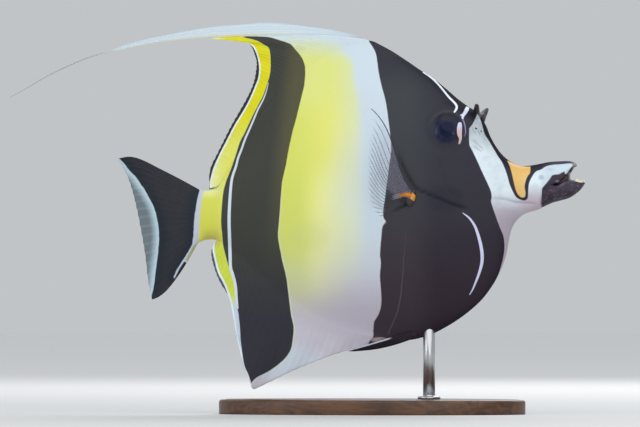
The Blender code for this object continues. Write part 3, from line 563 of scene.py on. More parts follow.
def tail_lines(skin, side, count, columns=44):
    """The tail fin's columns, from its root to the hind margin, with their rounded upper and lower edges."""
    lines, down = [], np.linspace(0, 1, count)
    ridge = 0.5 + 0.5 * np.cos(math.tau * down * TAIL_RAYS)
    root_half = half_thickness(TAIL_ROOT, down)
    for out in np.append(np.linspace(0.012, 0.985, columns), [0.994, 0.9985, 1.0]):
        reach = out * (1 - 0.006 * (1 - ridge) * out**4)
        place = tail_patch(down, out)
        place += (tail_patch(down, max(out - 0.02, 0)) - place) * ((out - reach) / 0.02)[:, None]
        x, z = metres(place[:, 0], place[:, 1])
        fading = (1 - out) ** 1.6
        membrane = MEMBRANE + 0.00025 * (2 * np.abs(down - 0.5)) ** 4 * (1 - out)
        thick = membrane + (root_half - membrane) * fading + ridge * 0.00016 * (1 - fading) * (1 - 0.6 * out)
        thick *= math.sqrt(max(0.0, 1 - max(0.0, (out - 0.985) / 0.015) ** 2))
        bend = TAIL_SWEEP * out**2 + WAVE * 1.2 * np.sin(down * 9 + 0.6) * out**2
        points = np.column_stack([x, bend + side * thick, z])
        flank = skin.add(points, bend, 100 + down * TAIL_RAYS, out)
        ends = points[[0, -1]][:, [0, 2]]
        upper = edge_cap(skin, ends[0], ends[1], thick[0], side, bend[0])
        lower = edge_cap(skin, ends[1], ends[0], thick[-1], side, bend[-1])
        lines.append((upper, flank, lower))
    return lines


print("columns in the fins:", (DORSAL_RAYS + ANAL_RAYS) * POINTS_PER_RAY + 2, "on each side")

# %% Stitch the whole skin
LIP_REACH = 0.0002


def lip_cap(skin, side, count):
    """Rounds the upper lip's front, from a point on its middle line back to station 0."""
    share = shares(0, count)
    top, bottom = (np.array(metres(*at(table, 0)[0])) for table in (FLESH_TOP, FLESH_BOTTOM))
    half, middle = half_thickness(0, share), (top + bottom) / 2
    ahead = np.array((0.94, -0.34))
    lines = []
    for turn in np.radians((88, 70, 50, 30, 14)):
        size, forward = math.cos(turn), math.sin(turn) * LIP_REACH
        line = middle + (top - middle + (bottom - top) * share[:, None]) * size + ahead * forward
        flank = skin.add(np.column_stack([line[:, 0], side * half * size, line[:, 1]]))
        ends = line[[0, -1]]
        upper = edge_cap(skin, ends[0], ends[1], 0.0001 * size, side, 0.0)
        lower = edge_cap(skin, ends[1], ends[0], 0.0001 * size, side, 0.0)
        lines.append((upper, flank, lower))
    tip = middle + ahead * LIP_REACH
    tip = skin.add([(tip[0], 0.0, tip[1])])
    return [(tip * 3, tip * count, tip * 3)] + lines


def stitch_side(skin, side):
    stations = [(0.0, COLUMN_RUNS[0][3])]
    for first, last, columns, count in COLUMN_RUNS:
        stations += [(first + (last - first) * (n + 1) / columns, count) for n in range(columns)]
    places = np.array([s for s, _ in stations])
    for edge in (FIN_FIRST, FIN_LAST):
        nearest = int(np.abs(places - edge).argmin())
        stations[nearest] = (edge, stations[nearest][1])
    body = [body_column(skin, station, side, count) for station, count in stations]
    first, last = ([s for s, _ in stations].index(edge) for edge in (FIN_FIRST, FIN_LAST))
    columns = lip_cap(skin, side, COLUMN_RUNS[0][3]) + body
    columns += tail_lines(skin, side, 4 * TAIL_RAYS + 1)
    for a, b in zip(columns[:-1], columns[1:]):
        skin.stitch(a[1], b[1])
        if a[0] and b[0]:
            skin.stitch([a[1][0]] + a[0], [b[1][0]] + b[0])
            skin.stitch([a[1][-1]] + a[2], [b[1][-1]] + b[2])
    dorsal = fin_patch(skin, side, FLESH_TOP, DORSAL_MARGIN, DORSAL_RAYS, 0.0, 0.10, -0.6, 0.5)
    anal = fin_patch(skin, side, FLESH_BOTTOM, ANAL_MARGIN, ANAL_RAYS, 1.0, -0.06, -0.06, 0.5)
    for fin, end, cap in ((dorsal, 0, 0), (anal, -1, 2)):
        skin.sheet(fin)
        skin.stitch([column[1][end] for column in body[first:last + 1]], [line[0] for line in fin])
        skin.stitch([body[first][1][end]] + body[first][cap], fin[0])
        skin.stitch([body[last][1][end]] + body[last][cap], fin[-1])


print("the lip is rounded over", LIP_REACH * 1000, "mm")

# %% [markdown]
# ## Markings
# A moorish idol is read by its bands. Each marking is written down as a path or an outline and stored on
# the skin as a distance in millimetres, so the paint can have a crisp edge, a soft one or a rough one.

# %% Outlines of the markings
FRONT_BAND_REAR = [
    (368, 26), (369, 41), (372, 46), (375.6, 53), (377.3, 62.5), (378.4, 71), (380.3, 81), (382, 88),
    (385, 99), (387, 110.5), (388.2, 120), (389.6, 131), (391, 150), (389, 165), (387.5, 178), (386, 189),
    (384.4, 201), (383, 210), (383.4, 218), (385.6, 221), (382.5, 226), (381.4, 234), (380.5, 245),
    (379.8, 255), (380.8, 263), (379.8, 275), (381, 293), (381.3, 300), (380.7, 307), (378.4, 314.5),
    (374.2, 321.5), (373.3, 330), (373, 337), (369.4, 341.4), (366, 352), (362, 366),
]
FACE_FRONT = [
    (477.3, 114.2), (478.9, 117), (480.4, 121), (481.9, 126), (484.4, 134.6), (488.5, 141), (493.3, 149.2),
    (498, 157.2), (501.3, 162), (504.5, 169), (507.2, 177.5), (509.3, 185), (512.5, 192), (515.2, 196.7),
    (519, 199.3), (524, 200.5), (527, 198.5), (527.5, 194), (528, 186.5), (529, 181.7), (531.7, 176.4),
    (535.5, 171.6), (540.6, 169.6), (545.4, 166.6), (551.6, 165.1), (560, 164.4), (566.1, 163.8),
    (569.6, 163.6),
]
FACE_LIP = [
    (569.6, 163.6), (571.9, 164.5), (571.8, 165.9), (570.6, 167.2), (568.6, 169.9), (567.2, 172.4),
    (565.6, 174.4),
]
FACE_JAW = [
    (565.6, 174.4), (564, 173.6), (563.8, 171.8), (561, 172.8), (558.2, 174.4), (551.8, 175.2),
    (549.4, 178.6), (546.4, 182.4), (543.2, 186.1), (541.2, 188.6),
]
FACE_CHIN = [(541.2, 188.6), (541.1, 198), (541.2, 207.5), (541.2, 218)]
FACE_UNDER = [(541.2, 218), (532, 236), (524, 262), (512, 300), (494, 300)]
FACE_REAR = [
    (492, 290), (495, 281), (497.8, 275), (500.2, 268), (502.6, 259), (504, 250), (504, 243.5), (503, 236),
    (500, 228.7), (497, 221), (494.4, 213.7), (491.7, 205.8), (490.5, 201), (491.2, 197.7), (490.4, 191.5),
    (488, 185.5), (484.3, 177.5), (480.3, 169), (476.3, 160), (472, 151), (469.2, 145.5), (468.7, 140),
    (468.7, 134), (468.9, 128.7),
]
FACE_TOP = [
    (468.9, 128.7), (470.2, 126.9), (471.8, 125), (472.8, 123), (474.3, 120.4), (475.5, 118), (476.4, 115.8),
    (477.3, 114.2),
]
FACE = [FACE_FRONT, FACE_LIP, FACE_JAW, FACE_CHIN, FACE_UNDER, FACE_REAR, FACE_TOP]
SADDLE = [
    [(507, 160.5), (512, 163), (518, 165), (525, 166.5), (530, 166.7)],
    [(530, 166.7), (529.4, 173), (527, 176.4), (525, 181.2), (524, 187), (524.8, 192.5), (524.5, 197)],
    [(524.5, 197), (521, 197.5), (517.3, 194.3), (514.7, 188.3), (513, 181), (511.5, 174.3), (510, 168.4),
     (507, 160.5)],
]
HIND_BAND_FRONT = [
    (249.7, 36), (262.5, 36.3), (270, 37), (278.5, 39.7), (290, 43.6), (295, 49), (300, 54.8), (303.6, 61.2),
    (305.2, 68), (305.2, 75), (304.3, 84.7), (302, 95), (299.7, 104), (296.7, 116.7), (293, 130),
    (290.3, 142), (288, 153), (286, 165), (282.3, 181), (281.2, 193), (280, 208), (279, 222), (278, 233),
    (278.5, 240.7), (280.7, 252.4), (282.8, 263), (285.5, 273.7), (287, 282.3), (288.7, 296),
    (289.6, 303.3), (291.3, 316), (293.3, 324.7), (293.6, 331.3), (292.7, 340), (290.7, 350), (286, 357.3),
    (280, 363.3), (272, 369.3), (265.3, 373.3), (257.3, 377.3), (253, 381), (249.5, 387),
]
HIND_BAND_REAR = [
    (249.5, 387), (246, 376), (243.4, 364), (242, 352), (240.5, 340), (239.6, 325), (238, 312), (236, 300),
    (234, 282), (231, 272), (228, 265), (224.8, 253), (223, 245), (222, 234), (221, 222.5), (221.5, 210),
    (223, 193.5), (225.8, 182), (231, 168.5), (236, 154), (240, 141.5), (245, 132), (250.5, 120),
    (257, 107), (262.5, 96.4), (266, 87), (268.4, 79.3), (270, 73), (270.5, 65), (270.2, 55), (268.4, 47.5),
    (263, 44), (257, 40.5), (247, 38), (240, 36),
]
HIND_LINE = [
    (268.5, 82), (266, 92), (262.5, 100.7), (258, 109), (254, 118.5), (249, 130), (245, 139), (241.5, 149),
    (238, 158), (236, 166), (232, 178), (230.5, 190), (229.5, 205), (229, 221), (229.5, 240.5),
    (230, 256.5), (230.5, 268), (232.7, 275), (235.3, 285.5), (236.6, 299.5), (238, 310),
]
DORSAL_RIM = [
    (222, 41), (246, 43), (251.5, 44.6), (255, 48.6), (258.4, 58), (259.8, 68), (258.8, 78), (255.4, 87),
    (251.6, 96), (247.8, 104), (243, 112.4), (235, 125.4), (228, 139), (220, 154.6), (214.4, 167),
    (211.2, 178), (210.4, 182.6), (210.2, 187), (210.2, 192),
]
ANAL_RIM = [
    (215.4, 237), (214, 242), (213.2, 247), (213.8, 253), (215.4, 260), (217.4, 268.5), (219.8, 275),
    (223, 280.6), (226.2, 287.6), (229, 295.6), (231.4, 304.6), (233.6, 316), (235.6, 330), (237.6, 342),
    (240.6, 352), (243.4, 366), (247.6, 376), (251, 386),
]
TAIL_DARK = [
    [(117, 157.4), (119.4, 159.4), (124.7, 165), (130, 171.8), (135.4, 177.1), (139.6, 183.5),
     (144.4, 190.0),
     (148, 196.9), (151.6, 203.4), (154.6, 211), (156.7, 219.7), (158, 228.2), (158.6, 236), (158.2, 245.2),
     (157.4, 254.8), (156.3, 262.2), (155, 272.9), (153.7, 283.5), (151.8, 293.1), (149.4, 300.5)],
    [(149.4, 300.5), (140, 320), (240, 320)],
    [(240, 320), (184.4, 261.2)],
    [(184.4, 261.2), (181.1, 265.7), (177.4, 272), (174.2, 279)],
    [(174.2, 279), (173.2, 278), (174.8, 273.4), (179.6, 264.9), (184.8, 257.1), (189.6, 249), (192, 243.6),
     (193.4, 233.3), (194.2, 218), (196.8, 201), (199.4, 190), (201.4, 180)],
    [(201.4, 180), (150, 140), (100, 140), (117, 157.4)],
]
TAIL_BAR = [
    (204.6, 183), (203, 190), (200.4, 200.7), (198.6, 216), (197.9, 233.3), (197, 241.4), (198.4, 248),
]
BROW_LINE = [
    (421, 71.3), (426, 74), (432.1, 78.5), (436.8, 83), (441.1, 87.9), (445.2, 93), (449.1, 97.7),
    (453.4, 102), (456, 105.4), (456.4, 108), (455.2, 110.6), (453.6, 112.8),
]
HORN_LINE = [(467.8, 106.9), (466.8, 109), (465.2, 112), (463.3, 115), (462.2, 117.6), (462.7, 119.8)]
HORN_LINE_FOOT = [(466, 112), (463.4, 114.6), (459.4, 115.7)]
EYE_LINE = [(462.2, 119.4), (463.9, 123.2), (464.9, 128.5), (465.1, 133.4), (463.8, 137.6)]
EYE_CORNER = [(461.8, 119.8), (463.2, 123), (463.9, 127), (463.9, 132), (462.9, 137)]
STEM_SHADE = [(204, 190), (208, 189.4), (212, 188.3), (215.8, 186.6)]
THIN_LINES = {  # path, its half width in mm at shares of its length, and its colour
    # painted shade where the end of the dorsal fin lies on the tail's stem
    "shade": (STEM_SHADE, [(0, 0.05), (0.3, 0.22), (0.7, 0.22), (1, 0.05)], (88, 100, 62)),
    "ridge": (BELLY_RIDGE, [(0, 0.0), (0.2, 0.10), (0.6, 0.26), (1, 0.30)], (76, 69, 78)),
    "brow": (BROW_LINE, [(0, 0.1), (0.1, 0.28), (0.4, 0.32), (0.8, 0.40), (0.93, 0.42), (1, 0.25)],
             (236, 246, 252)),
    "horn_foot": (HORN_LINE_FOOT, [(0, 0.5), (0.5, 0.5), (0.85, 0.3), (1, 0.05)], (206, 214, 240)),
    "horn": (HORN_LINE,
             [(0, 0.55), (0.1, 0.72), (0.3, 0.74), (0.6, 0.62), (0.8, 0.46), (0.93, 0.3), (1, 0.1)],
             (214, 222, 244)),
    "corner": (EYE_CORNER, [(0, 0.1), (0.3, 0.40), (0.7, 0.40), (1, 0.1)], (50, 50, 74)),
    "lid": (EYE_LINE, [(0, 0.3), (0.25, 0.22), (0.7, 0.17), (1, 0.0)], (136, 132, 170)),
    "cheek": (CHEEK_LINE, [(0, 0.12), (0.1, 0.34), (0.4, 0.62), (0.6, 0.60), (0.9, 0.3), (1, 0.1)],
              (206, 208, 238)),
    "hind": (HIND_LINE,
             [(0, 0.1), (0.12, 0.3), (0.35, 0.42), (0.6, 0.62), (0.8, 0.62), (0.95, 0.45), (1, 0.2)],
             (205, 215, 228)),
}
CRESCENT = [
    (457.6, 123.6), (459.2, 122.4), (460.9, 122.8), (461.6, 127), (461.5, 133), (461.3, 138.4),
    (460.4, 142.4), (458.8, 144.6), (458.0, 143.6), (458.6, 140.8), (458.4, 138.4), (457.3, 136),
    (456.6, 132.6), (456.7, 128), (457.2, 125.4), (457.6, 123.6),
]
YELLOW_BORDER = [  # row, the border's column, its softness and its part of the change
    (30, 334, 5, 0.7), (50, 343, 5, 0.7), (62, 351.5, 4.5, 0.75), (80, 354, 5, 0.66), (100, 358, 6, 0.62),
    (120, 359.5, 7, 0.56), (140, 359.5, 8, 0.48), (160, 360, 8, 0.4), (180, 360.5, 8, 0.34),
    (200, 361.5, 9, 0.3), (225, 361, 10, 0.4), (260, 360, 12, 0.36), (300, 348, 16, 0.2),
]
YELLOW_PALING = [  # row, the column about which the yellow pales, and how far to each side
    (30, 332, 8), (62, 341, 12), (100, 344, 17), (140, 341, 21), (180, 336, 25), (220, 334, 27),
    (300, 326, 24),
]
YELLOW_STRENGTH = [  # row, strength
    (36, 0.05), (39, 0.22), (42, 0.4), (46, 0.58), (50, 0.72), (56, 0.92), (62, 1), (190, 1), (225, 0.96),
    (250, 0.9), (265, 0.76), (280, 0.62), (290, 0.5), (300, 0.3), (310, 0.12), (320, 0.03), (330, 0),
    (390, 0),
]
print("thin lines described:", len(THIN_LINES))


# %% Store the markings on a mesh
def yellow(x, y):
    """How much yellow shows: it stops at a border, pales on the way there and fades above and below."""
    border, soft, share = at(YELLOW_BORDER, y).T
    paling, spread = at(YELLOW_PALING, y).T
    strength = at(YELLOW_STRENGTH, y - 0.16 * np.maximum(0, x - 312) * (y < 70))[:, 0]
    sharp, pale = smoothly(-1, 1, (border - x) / soft), smoothly(-1, 1, (paling - x) / spread)
    return strength * (share * sharp + (1 - share) * pale)


def fold_shade(x, y):
    """Painted shade in the folds of the face and under the chin."""
    shade = np.zeros(len(x))
    for path, width in [(fold, 0.28) for fold in FACE_FOLDS] + [(CHIN_FOLD, 0.34)]:
        side, along = from_path(smooth_path(path), x, y)
        shade = np.maximum(shade, bell(side, width) * np.clip(np.minimum(along, 1 - along) * 5, 0, 1))
    return shade


def eyelid(x, y):
    """A painted highlight: a faint ring of light on the socket's rim over the upper half of the eye."""
    away = np.hypot(x - EYE_SPOT[0], y - EYE_SPOT[1])
    return smoothly(-0.1, 0.6, (EYE_SPOT[1] - y) / np.maximum(away, 1)) * bell(away - 18.0, 1.2)


def mark(obj):
    """Stores every marking and the masks of painted shade and highlight, from where the points are seen on
    the chart.
    """
    mesh = obj.data
    x, y = seen(points_of(mesh), read(mesh, "middle"))

    def off(path, near=24.0):
        return from_path(smooth_path(path), x, y, near)

    mouth, gill, gill_fade = off(MOUTH_FOLD), *gill_edge(x, y)
    normals = np.zeros(len(x) * 3, np.float32)
    mesh.vertices.foreach_get("normal", normals)
    marks = {
        "seen_x": x,
        "seen_y": y,
        "front_band": off(FRONT_BAND_REAR[::-1], 400)[0],
        "face": within(FACE, x, y),
        "saddle": within(SADDLE, x, y),
        "hind_band": within([HIND_BAND_FRONT, HIND_BAND_REAR], x, y),
        "behind": off(HIND_BAND_REAR[-2::-1], 150)[0],
        "crescent": within([CRESCENT], x, y),
        # masks of painted shade in the folds, the mouth and the gill groove, then a painted highlight over
        # the eye
        "folds": fold_shade(x, y),
        "mouth": bell(mouth[0], 0.34) * smoothly(0, 0.3, 1 - mouth[1]),
        "groove": gill_fade * bell(gill - 0.2, 0.45),
        "eyelid": eyelid(x, y),
        "dorsal_rim": off(DORSAL_RIM)[0],
        "anal_rim": off(ANAL_RIM)[0],
        "tail_dark": within(TAIL_DARK, x, y),
        "behind_bar": np.where(x < 206, off(TAIL_BAR, 150)[0], -9),
        "turned": (1 - np.abs(normals[1::3])) * (read(mesh, "out") == 0),
        "lemon": yellow(x, y),
    }
    for name, (path, widths, _) in THIN_LINES.items():
        side, along = off(path)
        on_line = np.minimum(along, 1 - along) > 0.002
        marks[name + "_side"] = side
        marks[name + "_width"] = np.where(on_line, at(widths, along)[:, 0], -1)
    for name, values in marks.items():
        write(mesh, name, values)
    print("markings stored:", len(marks))


# %% [markdown]
# ## A notebook for finishes
# Every material here is painted by nodes. The helper below adds one node at a time and hands back its
# output, so a finish reads from top to bottom like a recipe. Its main word is `layer`: a colour laid over
# another where all of its masks are 1, and most masks are a value that steps up between two numbers.

# %% The finish helper
def paint(red, green, blue):
    """A colour picked on a screen, from 0 to 255, as the light values that a shader expects."""
    values = (v / 255 for v in (red, green, blue))
    return tuple(v / 12.92 if v <= 0.04045 else ((v + 0.055) / 1.055) ** 2.4 for v in values)


class Finish:
    """A material under construction; tuples given to it are screen colours."""

    def __init__(self, name, roughness=0.5, metallic=0.0, **sockets):
        self.material = bpy.data.materials.new(name)
        self.material.use_nodes = True
        self.tree = self.material.node_tree
        self.shader = self.tree.nodes["Principled BSDF"]
        self.place = self.node("ShaderNodeTexCoord").outputs["Object"]
        self.set(Roughness=roughness, Metallic=metallic, **sockets)

    def set(self, **sockets):
        for name, value in sockets.items():
            self.feed(self.shader.inputs[name.replace("_", " ")], value)

    def node(self, kind, **settings):
        made = self.tree.nodes.new(kind)
        for name, value in settings.items():
            setattr(made, name, value)
        return made

    def feed(self, socket, value):
        if isinstance(value, bpy.types.NodeSocket):
            self.tree.links.new(value, socket)
        elif isinstance(value, tuple):
            socket.default_value = (*paint(*value), 1)
        else:
            socket.default_value = value

    def fill(self, made, values):
        """Feeds a node's named inputs; those that are given as None keep what they have."""
        for name, value in values.items():
            if value is not None:
                self.feed(made.inputs[name], value)

    def value(self, name):
        """A number that is stored on the mesh."""
        return self.node("ShaderNodeAttribute", attribute_name=name).outputs["Fac"]

    def sum(self, kind, a, b=0.0, c=0.0):
        made = self.node("ShaderNodeMath", operation=kind)
        for socket, value in zip(made.inputs, (a, b, c)):
            self.feed(socket, value)
        return made.outputs[0]

    def step(self, value, low, high, start=0.0, end=1.0):
        """From start to end as the value goes from low to high."""
        made = self.node("ShaderNodeMapRange", interpolation_type="SMOOTHSTEP")
        self.fill(made, {"Value": value, "From Min": low, "From Max": high, "To Min": start, "To Max": end})
        return made.outputs["Result"]

    def all(self, *masks):
        """The product of masks; one that is written (value, low, high) is a step."""
        product, *rest = (self.step(*mask) if isinstance(mask, tuple) else mask for mask in masks)
        for mask in rest:
            product = self.sum("MULTIPLY", product, mask)
        return product

    def mix(self, share, a, b):
        made = self.node("ShaderNodeMix", data_type="RGBA")
        for place, given in ((0, share), (6, a), (7, b)):
            self.feed(made.inputs[place], given)
        return made.outputs[2]

    def layer(self, under, colour, *masks):
        """A colour laid over another where all the masks are 1."""
        return self.mix(self.all(*masks), under, colour)

    def stretched(self, scale):
        made = self.node("ShaderNodeMapping")
        self.feed(made.inputs["Vector"], self.place)
        made.inputs["Scale"].default_value = scale
        return made.outputs[0]

    def noise(self, scale, detail=3.0, roughness=0.55, where=None, distortion=0.0):
        made = self.node("ShaderNodeTexNoise")
        self.feed(made.inputs["Vector"], where or self.place)
        self.fill(made, {"Scale": scale, "Detail": detail, "Roughness": roughness, "Distortion": distortion})
        return made.outputs["Fac"]

    def cells(self, scale):
        made = self.node("ShaderNodeTexVoronoi")
        self.feed(made.inputs["Vector"], self.place)
        self.feed(made.inputs["Scale"], scale)
        return made.outputs["Distance"]

    def bump(self, height, distance, strength=1.0, onto=None):
        made = self.node("ShaderNodeBump")
        self.fill(made, {"Strength": strength, "Distance": distance, "Height": height, "Normal": onto})
        return made.outputs["Normal"]


print("screen white as light:", paint(255, 255, 255))

# %% [markdown]
# ## The fish's skin
# The scales of this fish are so small that its skin feels like fine sandpaper and looks like satin, so
# they are a bump and not a mesh. Colours go on in the order a painter would use: the pale ground, the
# yellow, the dark bands, the tail and face, and last the thin lines. A little noise keeps every edge alive.

# %% Colours of the skin
PALE, LILAC, ICE, SMOKE = (197, 213, 224), (194, 191, 203), (180, 204, 216), (103, 116, 123)
LEMON, STRAW, BUTTER, GOLD = (222, 223, 116), (206, 214, 98), (215, 218, 100), (213, 207, 0)
SLATE, PLUM, INK, ORANGE = (51, 52, 61), (48, 39, 50), (34, 32, 39), (222, 184, 112)
PALE_SMUDGES = [  # chart x, chart y, half width, half height, colour, strength
    (292, 366, 44, 27, (198, 213, 225), 0.75), (299, 49, 8, 5, (186, 198, 146), 0.4),
    (310, 236, 26, 20, (196, 206, 128), 0.3),
]
SMUDGES = [  # the same, over the bands
    (540.6, 177.4, 3.8, 3.4, (146, 162, 178), 0.6), (550, 169.5, 6, 2.6, (156, 190, 202), 0.4),
    # the spot at (556.6, 181.3) is a painted highlight on the dark patch behind the mouth
    (568, 177, 2.4, 2.2, (56, 22, 22), 0.7), (556.6, 181.3, 2.6, 1.5, (150, 150, 166), 0.7),
    (383, 222, 4, 3, (214, 205, 190), 0.35), (538, 205, 9, 5, (180, 164, 176), 0.28),
    (445, 199, 24, 17, (34, 34, 50), 0.45), (446.5, 130, 27, 25, (38, 38, 50), 0.45),
    (379, 339.8, 11, 3.3, (190, 168, 166), 0.85), (535, 190, 7, 9, (188, 190, 202), 0.5),
]
FIN_RIMS = [  # mark, colour outside the white line, half width of the line in mm
    ("dorsal_rim", (46, 49, 47), 0.29), ("anal_rim", (80, 87, 98), 0.40),
]


# %% Paint the skin
class FishSkin(Finish):
    """The finish of the fish's skin; each method paints one part of the pattern."""

    def __init__(self):
        super().__init__("skin", Specular_IOR_Level=0.28, Coat_Weight=0.03, Coat_Roughness=0.35)
        self.x, self.y = self.value("seen_x"), self.value("seen_y")
        self.cloud, self.mottle = self.noise(38, 4.0), self.noise(210, 3.0)
        self.ragged = self.sum("MULTIPLY", self.sum("SUBTRACT", self.noise(520, 1.0), 0.5), 0.16)
        self.rays = self.sum("SINE", self.sum("MULTIPLY", self.value("ray"), math.tau))

    def edge(self, name, rough=1.0):
        """1 inside a marking, with an edge 0.4 mm wide and more or less rough."""
        return self.step(self.sum("MULTIPLY_ADD", self.ragged, rough, self.value(name)), -0.20, 0.20)

    def smudged(self, colour, spots):
        """Soft oval spots of colour."""
        for column, row, across, down, tint, strength in spots:
            aside = self.sum("DIVIDE", self.sum("SUBTRACT", self.x, column), across)
            below = self.sum("DIVIDE", self.sum("SUBTRACT", self.y, row), down)
            away = self.sum("ADD", self.sum("MULTIPLY", aside, aside), self.sum("MULTIPLY", below, below))
            colour = self.layer(colour, tint, (away, 1.0, 0.0), strength)
        return colour

    def flank(self):
        """The pale ground, greyer low down, and the yellow on it."""
        x, y = self.x, self.y
        slant = self.sum("MULTIPLY_ADD", x, -0.35, self.sum("ADD", y, 115.5))
        ground = self.layer(PALE, LILAC, (y, 200, 345))
        ground = self.layer(ground, LILAC, (self.cloud, 0.45, 0.75), 0.25)
        ground = self.layer(ground, (182, 177, 191), (y, 264, 312), (slant, 347, 321), 0.9)
        lemon = self.layer(LEMON, STRAW, (x, 340, 288))
        lemon = self.layer(lemon, (214, 220, 128), (y, 130, 80))
        lemon = self.layer(lemon, (234, 235, 152), (y, 150, 205), (x, 296, 326), 0.7)
        ground = self.smudged(self.layer(ground, lemon, self.value("lemon")), PALE_SMUDGES)
        rim = (self.value("hind_band"), -0.75, -0.25)
        return self.layer(ground, (206, 218, 190), rim, (y, 170, 215), (x, 270, 274), 0.6)

    def hind_part(self):
        """Yellow behind the hind band, duller on the tail's stem and pale low on the anal fin."""
        y, stem = self.y, self.step(self.x, 227, 213)
        hind = self.layer(GOLD, BUTTER, (y, 108, 156))
        hind = self.layer(hind, (204, 207, 78), stem)
        # painted highlight along the top of the tail's stem
        hind = self.layer(hind, (222, 226, 150), stem, (y, 201, 190))
        # painted shade along the underside of the tail's stem
        hind = self.layer(hind, (184, 176, 88), stem, (y, 226, 238), (self.x, 199, 207), 0.7)
        hind = self.layer(hind, (196, 210, 66), (y, 243, 250), 0.9)
        return self.layer(hind, (190, 205, 220), (y, 292, 312))

    def hind_band(self):
        """Nearly black, with a lighter brown painted reflection down its front, where the flank is rounder.
        """
        lean = self.sum("ADD", self.x, self.sum("MULTIPLY", self.y, 0.12))
        dark = self.layer((61, 63, 58), (50, 49, 59), (self.y, 230, 330))
        # painted reflection: a lighter brown down the band's front
        return self.layer(dark, (83, 81, 61), (lean, 286, 306), (self.y, 300, 120))

    def front_band(self):
        """Slate above and plum below, greyer at the rear and lighter at the lips."""
        x, y = self.x, self.y
        dark = self.layer(SLATE, PLUM, (y, 150, 300))
        dark = self.layer(dark, INK, (self.cloud, 0.4, 0.8), 0.35)
        dark = self.layer(dark, (52, 47, 62), (x, 456, 476), (y, 220, 150), 0.5)
        rear = self.layer((62, 65, 70), (60, 51, 61), (y, 150, 300))
        dark = self.layer(dark, rear, (x, 442, 404), (y, 58, 96), 0.85)
        dark = self.layer(dark, (66, 61, 74), (x, 539, 544))
        dark = self.layer(dark, (80, 80, 98), (x, 541, 556), (y, 169, 166))
        dark = self.layer(dark, (132, 132, 130), (x, 570, 574))
        # painted shade on the band's rounded edges, where the skin turns away from the side
        dark = self.layer(dark, (24, 24, 34), (self.value("turned"), 0.25, 0.75), (x, 572, 566), 0.5)
        # painted highlight on the eye socket's upper rim
        return self.layer(dark, (92, 96, 98), self.value("eyelid"), 0.3)

    def fin_rims(self, ground):
        """A white line along each unpaired fin, with the fin's dark rim outside it."""
        on_fin = self.step(self.value("out"), 0.02, 0.08)
        for name, outer, half_width in FIN_RIMS:
            rim = self.sum("MULTIPLY_ADD", self.ragged, 0.6, self.value(name))
            white = self.sum("SUBTRACT", half_width, self.sum("ABSOLUTE", rim))
            ground = self.layer(ground, outer, (rim, -0.05, 0.15), on_fin)
            ground = self.layer(ground, (222, 232, 240), (white, -0.14, 0.14), on_fin)
        return ground

    def tail(self):
        """Black, with an icy hind edge and a pale lower one."""
        y, lower = self.y, (self.x, 164, 168)
        inside = self.value("tail_dark")
        tail = self.layer(SMOKE, ICE, (inside, -3.7, 0.2))
        tail = self.layer(tail, (230, 240, 246), (self.rays, 0.2, 1.0), 0.06)
        tail = self.layer(tail, (184, 192, 208), lower)
        tail = self.layer(tail, (158, 168, 116), (inside, -0.45, -0.75), lower, (y, 242, 247))
        black = self.layer((44, 46, 53), (54, 51, 56), (self.mottle, 0.35, 0.75), 0.5)
        black = self.layer(black, (34, 41, 49), (inside, 6.0, 0.5))
        return self.layer(tail, black, self.edge("tail_dark", rough=2.2))

    def face(self):
        """White, greyer at the brow and lilac under the chin."""
        x, y = self.x, self.y
        face = self.layer((222, 236, 243), (206, 218, 227), (self.cloud, 0.35, 0.7))
        face = self.layer(face, (178, 190, 202), (self.mottle, 0.45, 0.7), 0.3)
        face = self.layer(face, (174, 186, 194), (y, 158, 128))
        face = self.layer(face, (200, 216, 228), (x, 536, 548))
        face = self.layer(face, (171, 161, 174), (y, 184, 222))
        face = self.layer(face, (190, 180, 190), (x, 512, 528), (y, 184, 200))
        # painted shade in the folds of the face and under the chin
        return self.layer(face, (140, 134, 152), self.value("folds"), 0.55)

    def saddle(self):
        """The orange patch over the snout."""
        orange = self.layer(ORANGE, (228, 180, 98), (self.cloud, 0.3, 0.7))
        return self.layer(orange, (224, 198, 140), (self.x, 516, 526), (self.y, 168, 186), 0.6)

    def lines(self, ground):
        """Thin lines, the pale crescent leaving the eye, and painted shade in the gill groove and the mouth.
        """
        for name, (_, _, colour) in THIN_LINES.items():
            away = self.sum("ABSOLUTE", self.value(name + "_side"))
            line = self.sum("SUBTRACT", self.value(name + "_width"), away)
            ground = self.layer(ground, colour, (line, -0.15, 0.15))
        pearl = self.layer((206, 186, 190), (190, 168, 160), (self.y, 137, 142))
        ground = self.layer(ground, pearl, (self.value("crescent"), -0.15, 0.15))
        # painted shade in the gill cover's groove
        ground = self.layer(ground, INK, self.value("groove"), 0.75)
        # painted shade along the mouth's fold, past its corner
        return self.layer(ground, (24, 20, 26), self.value("mouth"), 0.9)

    def pattern(self):
        """All the colours, from the ground up."""
        ground = self.layer(self.flank(), self.hind_part(), (self.value("behind"), -0.18, 0.18))
        ground = self.fin_rims(self.layer(ground, self.hind_band(), self.edge("hind_band")))
        ground = self.layer(ground, self.tail(), (self.value("behind_bar"), -1.0, 0.25))
        ground = self.layer(ground, self.front_band(), self.edge("front_band"))
        ground = self.layer(ground, self.face(), self.edge("face", rough=0.5))
        ground = self.layer(ground, self.saddle(), self.edge("saddle", rough=0.6))
        return self.lines(self.smudged(ground, SMUDGES))

